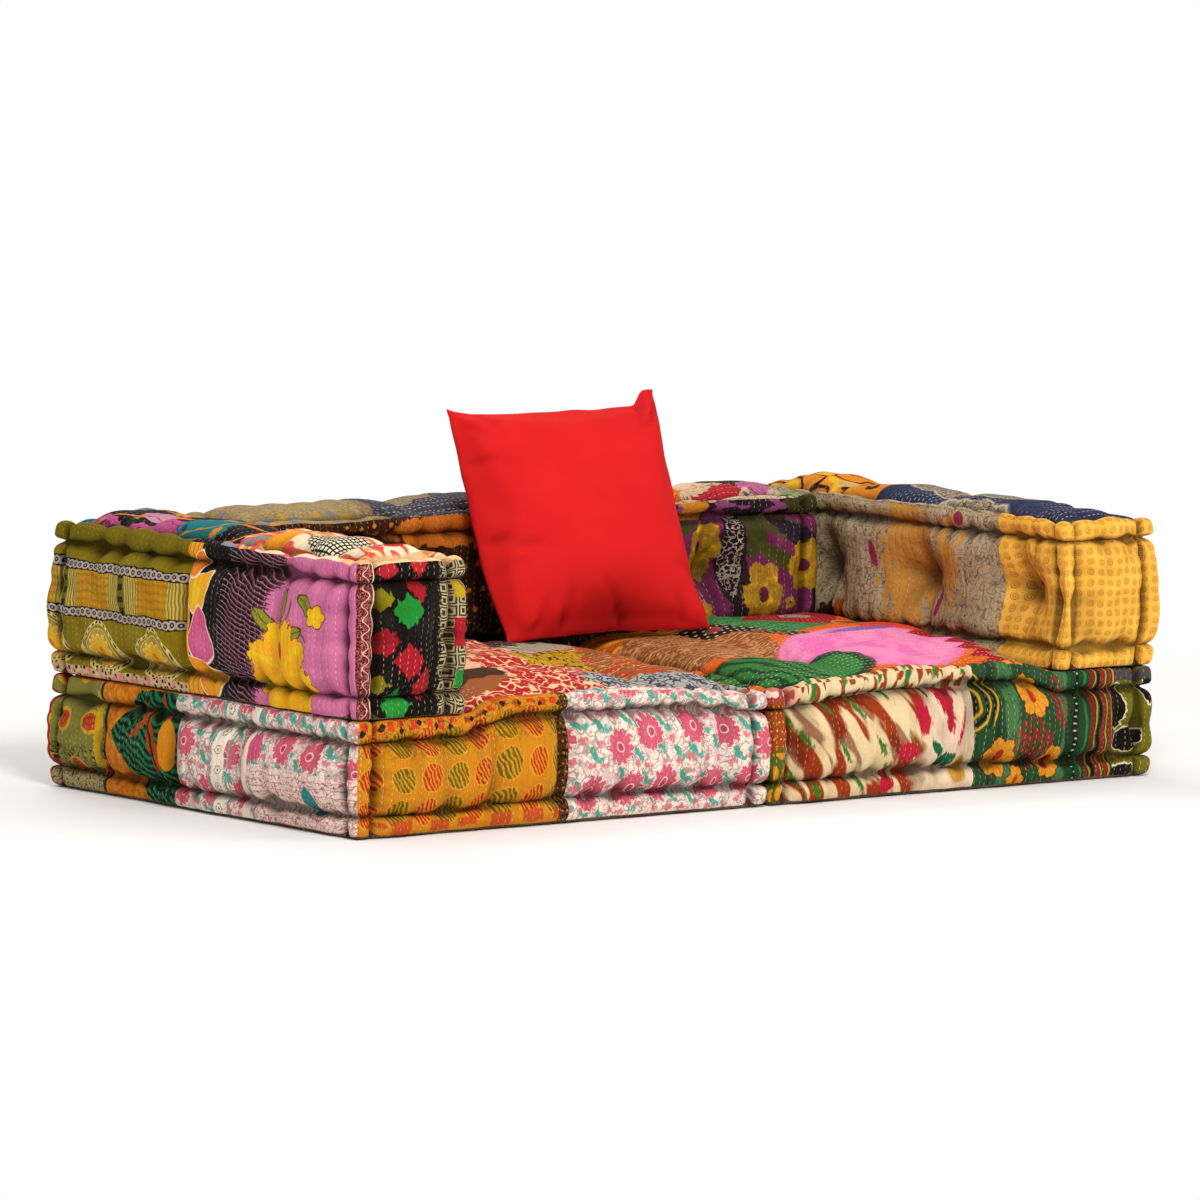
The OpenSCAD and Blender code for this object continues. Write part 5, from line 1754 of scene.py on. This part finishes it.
def dress_base_right(c):
    front = ((0.022, 0.413, 0.717), ("rust_roll", "brush_ikat", "green_bands", "olive_corner"))
    front_roll = ((0.413, 0.717), ("cream_strokes", "green_bands", "olive_corner"))
    side = ((0.20, 0.46), ("green_bands", "ochre_coins", "brown_blossom"))
    c.patches[FRONT] = strips(*front) + [(0.022, 0.413, BASE_H - ROLL, FAR, "cream_strokes")]
    c.patches[LEFT] = whole("rust_roll")
    c.patches[RIGHT] = strips(*side)
    c.patches[REAR] = strips((0.28, 0.56), ("rose_paisley", "brown_blossom", "taupe_scrolls"))
    c.patches[BOTTOM] = whole("plain_brown")
    c.patches[TOP] = (
        whole("seat_bright_mix") + sideways(*side, BASE_W - ROLL) + strips(*front_roll, 0.0, ROLL)
    )
    c.channels[FRONT] = [(0.048, 0.008), (0.413, 0.008), (0.620, 0.005), (0.730, 0.010)]
    c.channels[RIGHT] = [(0.200, 0.008), (0.460, 0.010)]
    c.channels[REAR] = [(0.270, 0.008), (0.530, 0.008)]


def dress_arm_left(c):
    c.patches[LEFT] = (
        strips((0.365, 0.790), ("olive_ikat", "lotus_waves", "maroon_edge"))
        + [(0.0, 0.365, UPPER_H - ROLL, FAR, "olive_roll")]
    )
    c.patches[FRONT] = strips((0.027, 0.140), ("maroon_border", "ikat_stars", "window_panes"))
    c.patches[RIGHT] = whole("brown_blossom")
    c.patches[REAR] = whole("olive_roll")
    c.patches[BOTTOM] = whole("plain_brown")
    c.patches[TOP] = (
        sideways((0.360,), ("cream_swirls", "teal_carnival"))
        + [(0.0, ROLL, BASE_D - 0.365, FAR, "olive_roll"), (0.0, FAR, 0.0, ROLL, "cream_swirls")]
    )
    c.channels[LEFT] = [(BASE_D - 0.365, 0.008), (BASE_D - 0.600, 0.004), (BASE_D - 0.785, 0.006)]
    c.channels[FRONT] = [(0.142, 0.011)]


def dress_arm_right(c):
    c.patches[LEFT] = strips((0.635,), ("taupe_scrolls", "amber_spirals"))
    c.patches[FRONT] = whole("amber_spirals")
    c.patches[RIGHT] = strips((0.42,), ("amber_spirals", "rose_paisley"))
    c.patches[REAR] = whole("straw_weave")
    c.patches[BOTTOM] = whole("plain_brown")
    c.patches[TOP] = (
        sideways((0.500,), ("navy_floral", "amber_black"))
        + sideways((0.165,), ("amber_spirals", "taupe_scrolls"), 0.0, ROLL)
        + [(0.0, FAR, 0.0, ROLL, "amber_spirals")]
    )
    c.channels[FRONT] = [(0.045, 0.006)]
    c.channels[RIGHT] = [(0.420, 0.008)]


def dress_back(c):
    c.patches[FRONT] = (
        strips((0.880,), ("brown_blossom", "purple_garden"))
        + [(0.880, FAR, UPPER_H - ROLL, FAR, "purple_roll")]
    )
    c.patches[LEFT] = whole("straw_weave")
    c.patches[RIGHT] = whole("fruit_bits")
    c.patches[REAR] = strips((0.42, 0.80), ("brown_blossom", "amber_spirals", "rose_paisley"))
    c.patches[BOTTOM] = whole("plain_brown")
    c.patches[TOP] = strips((0.270, 0.880), ("straw_weave", "navy_straw", "fruit_bits"))
    c.channels[REAR] = [(0.390, 0.008), (0.770, 0.008)]


# A knot of the tufts: the radius of its turn, half the thread, how much it waves, and its mesh
KNOT_R = 0.0030
THREAD_R = 0.0017
KNOT_WAVE = 0.0008
KNOT_CELLS = 20
THREAD_CELLS = 8


def knots(body, places, material):
    """The thread knots in the dimples of a cushion: a flat turn of thread with its ends drawn in."""
    points, faces = [], []
    for middle, outward in places:
        axis = Vector(outward).normalized()
        across = axis.orthogonal().normalized()
        along = axis.cross(across)
        first = len(points)
        for k in range(KNOT_CELLS):
            turn = 2 * math.pi * k / KNOT_CELLS
            ring_x = across * math.cos(turn) + along * math.sin(turn)
            heart = Vector(middle) + ring_x * KNOT_R + axis * (KNOT_WAVE * math.sin(2 * turn))
            after = (k + 1) % KNOT_CELLS
            for s in range(THREAD_CELLS):
                bend = 2 * math.pi * s / THREAD_CELLS
                point = heart + ring_x * (THREAD_R * math.cos(bend)) + axis * (THREAD_R * math.sin(bend))
                points.append(list(point))
                beside = (s + 1) % THREAD_CELLS
                steps = ((k, s), (k, beside), (after, beside), (after, s))
                faces.append([first + ring * THREAD_CELLS + side for ring, side in steps])
    piece = mesh_piece(f"{body}_knots", np.array(points), np.array(faces))
    piece.data.materials.append(material)
    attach(piece, body)
    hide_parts(f"{body}_tufts")


def nearest(piece, spot):
    """The point of a cover nearest to a place, with the direction out of the cloth."""
    places = np.array([v.co[:] for v in piece.data.vertices])
    point = piece.data.vertices[int(np.argmin(np.linalg.norm(places - np.array(spot), axis=1)))]
    return point.co.copy(), point.normal.copy()


def twine():
    """Twisted dark red thread."""
    material, tree, shader = new_material("tuft_thread")
    where = new_node(tree, "ShaderNodeTexCoord", {}).outputs["Object"]
    inputs = {"Vector": where, "Scale": 400.0}
    lay = new_node(tree, "ShaderNodeTexWave", inputs, bands_direction="DIAGONAL").outputs["Fac"]
    bump = new_node(tree, "ShaderNodeBump", {"Distance": 0.0004, "Height": lay})
    set_inputs(tree, shader, {
        "Base Color": mixed(tree, lay, ink("4a1c18"), ink("9c3c34")),
        "Normal": bump.outputs[0],
        "Roughness": 0.85,
    })
    return material


# The pillow as in the frame: its side, its thickness, how far its edges are drawn in, and its
# lean, turn and tilt in degrees
PILLOW_SIDE = 0.400
PILLOW_HALF = PILLOW_SIDE / 2
PILLOW_T = 0.136
PILLOW_DRAW = 0.006
PILLOW_LEAN = 22.0
PILLOW_TURN = 5.0
PILLOW_TILT = 1.0

# Its mesh, and how far the cloth simulation may move a point of it, in how many frames
PILLOW_CELLS = 48
PILLOW_CAP = 0.012
PILLOW_FRAMES = 20

# How blunt its corners are, past what share of the way, and how full it is at the middle and how
# fast it fills out from its seams
CORNER_BLUNT = 0.030
CORNER_PAST = 0.80
FILL_SHARE = 0.96
FILL_POWER = 0.56

# Its folds. Each starts at a place in half sides from the middle, runs in a direction for so many
# half sides, and is so deep
PILLOW_FOLDS = (
    (-1, 0.50, -0.25, 0.50, 0.0030), (-1, -0.15, -0.35, 0.65, 0.0042), (-1, -0.45, 0.15, 0.40, 0.0030),
    (-0.45, -1, 1.20, 0.45, 0.0050), (0.25, -1, 2.10, 0.55, 0.0050), (0.75, -1, 1.75, 0.35, 0.0035),
    (1, 0.85, 3.60, 0.45, 0.0050), (0.80, 1, 4.30, 0.35, 0.0045), (1, -0.60, 2.80, 0.40, 0.0030),
    (-0.80, 1, 5.20, 0.35, 0.0030), (-1, 0.85, 5.80, 0.30, 0.0030), (-0.75, -1, 0.95, 0.40, 0.0040),
)

# How wide a fold is, how far beside it the cloth swells up and how wide, and how much a fold bends
FOLD_WIDE = 0.035
SWELL_BESIDE = 0.075
SWELL_WIDE = 0.045
FOLD_BEND = 0.10

# Its lumps: how high and how wide they are, and their seeds
PILLOW_LUMPS = ((0.0045, 0.11, 71), (0.0008, 0.045, 72))

# How far its two upright edges and its two level ones wander, and over what length
UPRIGHT_WANDER = 0.0022
UPRIGHT_RUN = 0.21
LEVEL_WANDER = 0.0018
LEVEL_RUN = 0.19

# The tuck in its foot, how far its top edge hangs between the ears and its foot drops, and how far
# its ear and its lower corners are drawn aside
TUCK = 0.020
TOP_HANG = 0.024
FOOT_DROP = 0.004
EAR_OUT = 0.003
EAR_UP = 0.004
HEEL_IN = 0.022
TOE_OUT = 0.012


def pillow_matrix():
    """From the pillow's own frame, its middle at the origin, to the sofa's, fitted to its node."""
    turn = (
        Matrix.Rotation(math.radians(-PILLOW_TURN), 4, "Z")
        @ Matrix.Rotation(math.radians(-PILLOW_LEAN), 4, "X")
        @ Matrix.Rotation(math.radians(-PILLOW_TILT), 4, "Y")
        @ Matrix.Translation((0, 0, PILLOW_HALF))
    )
    corners = [turn @ Vector((a * PILLOW_HALF, 0, b * PILLOW_HALF)) for a in (-1, 1) for b in (-1, 1)]
    low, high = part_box("pillow_front")
    foot_z = high[2] - max(c.z for c in corners)
    middle_x = (low[0] + high[0]) / 2 - (max(c.x for c in corners) + min(c.x for c in corners)) / 2
    back_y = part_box("pillow_rear")[1][1] - max(c.y for c in corners)
    return Matrix.Translation((middle_x, back_y, foot_z)) @ turn


def pillow_form():
    """The plump pillow before its cloth is worked: its points and faces, in its own frame."""
    share = np.sin(np.linspace(-np.pi / 2, np.pi / 2, PILLOW_CELLS + 1))
    a, b = np.meshgrid(share, share, indexing="ij")
    blunt = 1 - CORNER_BLUNT * ramp(abs(a * b), CORNER_PAST, 1 - CORNER_PAST)
    x = a * (PILLOW_HALF - PILLOW_DRAW * (1 - b**2)) * blunt
    z = b * (PILLOW_HALF - PILLOW_DRAW * (1 - a**2)) * blunt
    out = FILL_SHARE * PILLOW_T / 2 * ((1 - a**2) * (1 - b**2)) ** FILL_POWER
    front = np.stack([x, -out, z], axis=-1)
    rear = np.stack([x, out, z], axis=-1)
    count = PILLOW_CELLS + 1
    number = np.arange(count * count).reshape(count, count)
    rear_number = number.copy()
    rear_number[1:-1, 1:-1] = count * count + np.arange((count - 2) ** 2).reshape(count - 2, count - 2)
    points = np.concatenate([front.reshape(-1, 3), rear[1:-1, 1:-1].reshape(-1, 3)])
    sides = ((number, (0, 1, 2, 3)), (rear_number, (0, 3, 2, 1)))
    return points, np.concatenate([quad_corners(ids[..., None], order)[..., 0] for ids, order in sides])


def worked_cloth(piece, start):
    """Lets the cover wrinkle as cloth over its stuffing, and keeps each point near its start."""
    cloth = piece.modifiers.new("cover", "CLOTH")
    for name, setting in {
        "quality": 6,
        "mass": 0.2,
        "tension_stiffness": 12,
        "compression_stiffness": 12,
        "shear_stiffness": 4,
        "bending_stiffness": 0.12,
        "shrink_min": -0.045,
        "use_pressure": True,
        "uniform_pressure_force": 4,
    }.items():
        setattr(cloth.settings, name, setting)
    cloth.settings.effector_weights.gravity = 0
    cloth.collision_settings.use_collision = False
    relaxed = piece.modifiers.new("relaxed", "SMOOTH")
    relaxed.factor = 0.5
    relaxed.iterations = 10
    for moment in range(1, PILLOW_FRAMES + 1):
        bpy.context.scene.frame_set(moment)
    seen = piece.evaluated_get(bpy.context.evaluated_depsgraph_get())
    moved = np.empty(len(piece.data.vertices) * 3)
    seen.data.vertices.foreach_get("co", moved)
    piece.modifiers.remove(relaxed)
    piece.modifiers.remove(cloth)
    bpy.context.scene.frame_set(1)
    step = moved.reshape(-1, 3) - start
    length = np.linalg.norm(step, axis=1, keepdims=True)
    return start + step * PILLOW_CAP * np.tanh(length / PILLOW_CAP) / np.maximum(length, 1e-9)


def fold_depth(a, b):
    """How deep the pillow's folds are at a place in half sides from its middle."""
    draw = np.zeros(len(a))
    for start_a, start_b, aim, reach, deep in PILLOW_FOLDS:
        along = (a - start_a) * math.cos(aim) + (b - start_b) * math.sin(aim)
        beside = (b - start_b) * math.cos(aim) - (a - start_a) * math.sin(aim)
        beside = beside - FOLD_BEND * along**2
        fade = clamp01(along / 0.06) * clamp01((reach - along) / reach)
        draw += 3.2 * deep * fade * bell(beside, FOLD_WIDE)
        draw -= 1.6 * deep * fade * bell(beside - SWELL_BESIDE, SWELL_WIDE)
    return draw


def pillow_creases(p):
    """The pillow's points with its folds, tuck, ears and hanging top edge, and the painted shade of its
    folds and tuck. Places are in half sides.
    """
    a, b = p[:, 0] / PILLOW_HALF, p[:, 2] / PILLOW_HALF
    inner = clamp01((1 - np.maximum(abs(a), abs(b))) / 0.12)
    folds = fold_depth(a, b)
    tuck = bell(a - 0.10, 0.45) * ramp(-b, 0.40, 0.60) ** 2
    lumps = sum(high * noise(p, wide, seed) for high, wide, seed in PILLOW_LUMPS)
    # Painted shade, darkest in the tucked-in foot and along the folds
    shade = clamp01(0.9 * tuck**0.6 + 45 * np.maximum(folds, 0) * inner)
    p = p.copy()
    p[:, 1] += np.sign(-p[:, 1]) * (folds + TUCK * tuck - lumps / 2) * inner
    p[:, 2] += 0.1 * TUCK * tuck
    p[:, 0] += UPRIGHT_WANDER * wander(b, UPRIGHT_RUN, 73) * ramp(abs(a), 0.8, 0.2)
    p[:, 2] += LEVEL_WANDER * wander(a, LEVEL_RUN, 74) * ramp(abs(b), 0.8, 0.2)
    ear = ramp(a, 0.82, 0.12) * ramp(b, 0.82, 0.18)
    p[:, 0] += EAR_OUT * ear
    p[:, 2] += EAR_UP * ear
    kept = np.maximum(ramp(a, 0.80, 0.08), 0.55 * ramp(-a, 0.80, 0.20))
    hang = ramp(b, 0.35, 0.65) ** 1.5 * (1 - kept * ramp(b, 0.6, 0.2))
    p[:, 2] -= TOP_HANG * hang + FOOT_DROP * ramp(-b, 0.7, 0.3)
    p[:, 0] += HEEL_IN * ramp(-a, 0.55, 0.45) * ramp(-b, 0.40, 0.60)
    p[:, 0] += TOE_OUT * ramp(a, 0.60, 0.40) * ramp(-b, 0.60, 0.40)
    return p, shade


def pillow_cover(material):
    points, faces = pillow_form()
    piece = mesh_piece("pillow_cover", points, faces)
    points = worked_cloth(piece, points)
    low, high = points.min(axis=0), points.max(axis=0)
    fit = np.array([PILLOW_SIDE, PILLOW_T, PILLOW_SIDE]) / (high - low)
    points, shade = pillow_creases((points - (high + low) / 2) * fit)
    place = np.array(pillow_matrix())
    points = points @ place[:3, :3].T + place[:3, 3]
    piece.data.vertices.foreach_set("co", points.ravel())
    piece.data.update()
    set_painted_shade(piece, shade)
    piece.data.materials.append(material)
    smooth_piece(piece)
    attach(piece, "pillow")
    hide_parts("pillow_front", "pillow_rear", "pillow_filling")


def red_cotton():
    """Plain red cotton with a fine close weave, darkened by painted shade in its folds and foot."""
    material, tree, shader = new_material("red_cotton")
    where = new_node(tree, "ShaderNodeTexCoord", {}).outputs["Object"]
    threads = {}
    for place, way in enumerate(("X", "Z")):
        inputs = {"Vector": where, "Scale": 260.0, "Distortion": 1.2, "Detail": 1.0}
        threads[place] = new_node(tree, "ShaderNodeTexWave", inputs, bands_direction=way).outputs["Fac"]
    weave = new_node(tree, "ShaderNodeMath", threads, operation="MULTIPLY").outputs[0]
    soft = new_node(tree, "ShaderNodeTexNoise", {"Vector": where, "Scale": 9.0, "Detail": 3.0})
    dye = mixed(tree, soft.outputs["Fac"], ink("d41a1a"), ink("ee2626"))
    fibre = mixed(tree, 0.18, dye, weave, "MULTIPLY")
    # Painted shade: darkens the red towards a deep red in the pillow's folds and its tucked-in foot
    depth = new_node(tree, "ShaderNodeMath", {0: painted_crease_shade(tree), 1: 0.92}, operation="MULTIPLY")
    bump = new_node(tree, "ShaderNodeBump", {"Strength": 0.25, "Distance": 0.0004, "Height": weave})
    set_inputs(tree, shader, {
        "Base Color": mixed(tree, depth.outputs[0], fibre, ink("640204")),
        "Normal": bump.outputs[0],
        "Roughness": 0.82,
        "Specular IOR Level": 0.08,
    })
    return material


# The studio: how pale and how wide the floor is, how far it lies under the sofa, and the light
# from all round
FLOOR_PALE = 0.93
FLOOR_HALF = 14.0
FLOOR_DOWN = 0.0004
SKY_LIGHT = 0.60

# Where the floor starts to turn white, and where it has
FLOOR_NEAR = 1.3
FLOOR_FAR = 2.6

# The lamps: their names, places, sizes and powers, their colour, and the height that they aim at
LAMPS = (
    ("key", (-1.9, -3.6, 3.3), 1.3, 140.0),
    ("fill", (3.0, -3.4, 2.2), 2.4, 50.0),
    ("rim", (0.6, 2.8, 3.2), 2.0, 50.0),
)
LAMP_TINT = (1.0, 0.965, 0.91)
LAMP_AIM = 0.25

# The camera of the photograph: its place, its angles in degrees and its lens
CAMERA_AT = (-8.2356, -10.2357, 1.5894)
CAMERA_YAW = 38.745
CAMERA_PITCH = 5.662
CAMERA_ROLL = 0.979
CAMERA_LENS = 250.36


def looked_at(tree):
    """1 for what the camera sees straight on, in a gloss or through glass, and 0 for light."""
    path = new_node(tree, "ShaderNodeLightPath", {})
    seen = path.outputs["Is Camera Ray"]
    for kind in ("Is Glossy Ray", "Is Transmission Ray"):
        inputs = {0: seen, 1: path.outputs[kind]}
        seen = new_node(tree, "ShaderNodeMath", inputs, operation="MAXIMUM").outputs[0]
    return seen


def white_far_floor(tree, shader):
    """Far from the sofa the floor runs into the white background, for the camera alone."""
    where = new_node(tree, "ShaderNodeNewGeometry", {}).outputs["Position"]
    far = new_node(tree, "ShaderNodeVectorMath", {0: where}, operation="LENGTH").outputs["Value"]
    inputs = {"From Min": FLOOR_NEAR, "From Max": FLOOR_FAR, "Value": far}
    fade = new_node(tree, "ShaderNodeMapRange", inputs, interpolation_type="SMOOTHSTEP").outputs["Result"]
    inputs = {0: fade, 1: looked_at(tree)}
    seen = new_node(tree, "ShaderNodeMath", inputs, operation="MULTIPLY").outputs[0]
    white = new_node(tree, "ShaderNodeEmission", {}).outputs[0]
    either = new_node(tree, "ShaderNodeMixShader", {0: seen, 1: shader.outputs[0], 2: white}).outputs[0]
    set_inputs(tree, tree.nodes["Material Output"], {"Surface": either})


def pale_floor():
    corners = [(x * FLOOR_HALF, y * FLOOR_HALF, 0) for x, y in ((-1, -1), (1, -1), (1, 1), (-1, 1))]
    mesh = bpy.data.meshes.new("floor")
    mesh.from_pydata(corners, [], [(0, 1, 2, 3)])
    floor = bpy.data.objects.new("floor", mesh)
    bpy.context.scene.collection.objects.link(floor)
    floor.location.z = -FLOOR_DOWN
    paint, tree, shader = new_material("floor_paint")
    set_inputs(tree, shader, {
        "Base Color": (FLOOR_PALE, FLOOR_PALE, FLOOR_PALE, 1),
        "Roughness": 1.0,
        "Specular IOR Level": 0.0,
    })
    mesh.materials.append(paint)
    white_far_floor(tree, shader)


def white_world():
    """Soft light from all round, and a plain white behind the sofa for the camera."""
    world = bpy.data.worlds.new("studio")
    bpy.context.scene.world = world
    world.use_nodes = True
    tree = world.node_tree
    soft = tree.nodes["Background"]
    set_inputs(tree, soft, {"Color": (1, 1, 1, 1), "Strength": SKY_LIGHT})
    white = new_node(tree, "ShaderNodeBackground", {"Color": (1, 1, 1, 1)}).outputs[0]
    either = new_node(tree, "ShaderNodeMixShader", {0: looked_at(tree), 1: soft.outputs[0], 2: white})
    set_inputs(tree, tree.nodes["World Output"], {"Surface": either.outputs[0]})


def lamps():
    for name, place, size, power in LAMPS:
        light = bpy.data.lights.new(name, "AREA")
        light.size = size
        light.energy = power
        light.color = LAMP_TINT
        lamp = bpy.data.objects.new(name, light)
        bpy.context.scene.collection.objects.link(lamp)
        lamp.location = place
        lamp.rotation_mode = "QUATERNION"
        lamp.rotation_quaternion = (Vector((0, 0, LAMP_AIM)) - Vector(place)).to_track_quat("-Z", "Y")


def photo_camera():
    """The photograph's view, with a long lens from the sofa's left front."""
    cam = bpy.data.cameras.new("photo_view")
    cam.sensor_width = 36.0
    cam.lens = CAMERA_LENS
    cam.clip_start = 0.1
    cam.clip_end = 60.0
    yaw, pitch, roll = (math.radians(v) for v in (CAMERA_YAW, CAMERA_PITCH, CAMERA_ROLL))
    forward = Vector((math.sin(yaw) * math.cos(pitch), math.cos(yaw) * math.cos(pitch), -math.sin(pitch)))
    side = Vector((math.cos(yaw), -math.sin(yaw), 0))
    up = side.cross(forward)
    right = side * math.cos(roll) + up * math.sin(roll)
    top = up * math.cos(roll) - side * math.sin(roll)
    view = bpy.data.objects.new("photo_view", cam)
    bpy.context.scene.collection.objects.link(view)
    turn = Matrix((right, top, -forward)).transposed()
    view.matrix_world = Matrix.Translation(CAMERA_AT) @ turn.to_4x4()
    bpy.context.scene.camera = view


prints = make_prints()
thread = twine()
for cushion, dress, tufted in (
    (base_cushion("left", 11), dress_base_left, TOP),
    (base_cushion("right", 23), dress_base_right, TOP),
    (arm_cushion("left", 37), dress_arm_left, RIGHT),
    (arm_cushion("right", 41), dress_arm_right, LEFT),
    (back_cushion(59), dress_back, FRONT),
):
    dress(cushion)
    cover = cushion.build(prints)
    finish_cover(cover, cushion.body)
    knots(cushion.body, [nearest(cover, spot) for spot in cushion.tuft_places(tufted)], thread)
pillow_cover(red_cotton())
pale_floor()
white_world()
lamps()
photo_camera()
bpy.context.scene.view_settings.view_transform = "Standard"
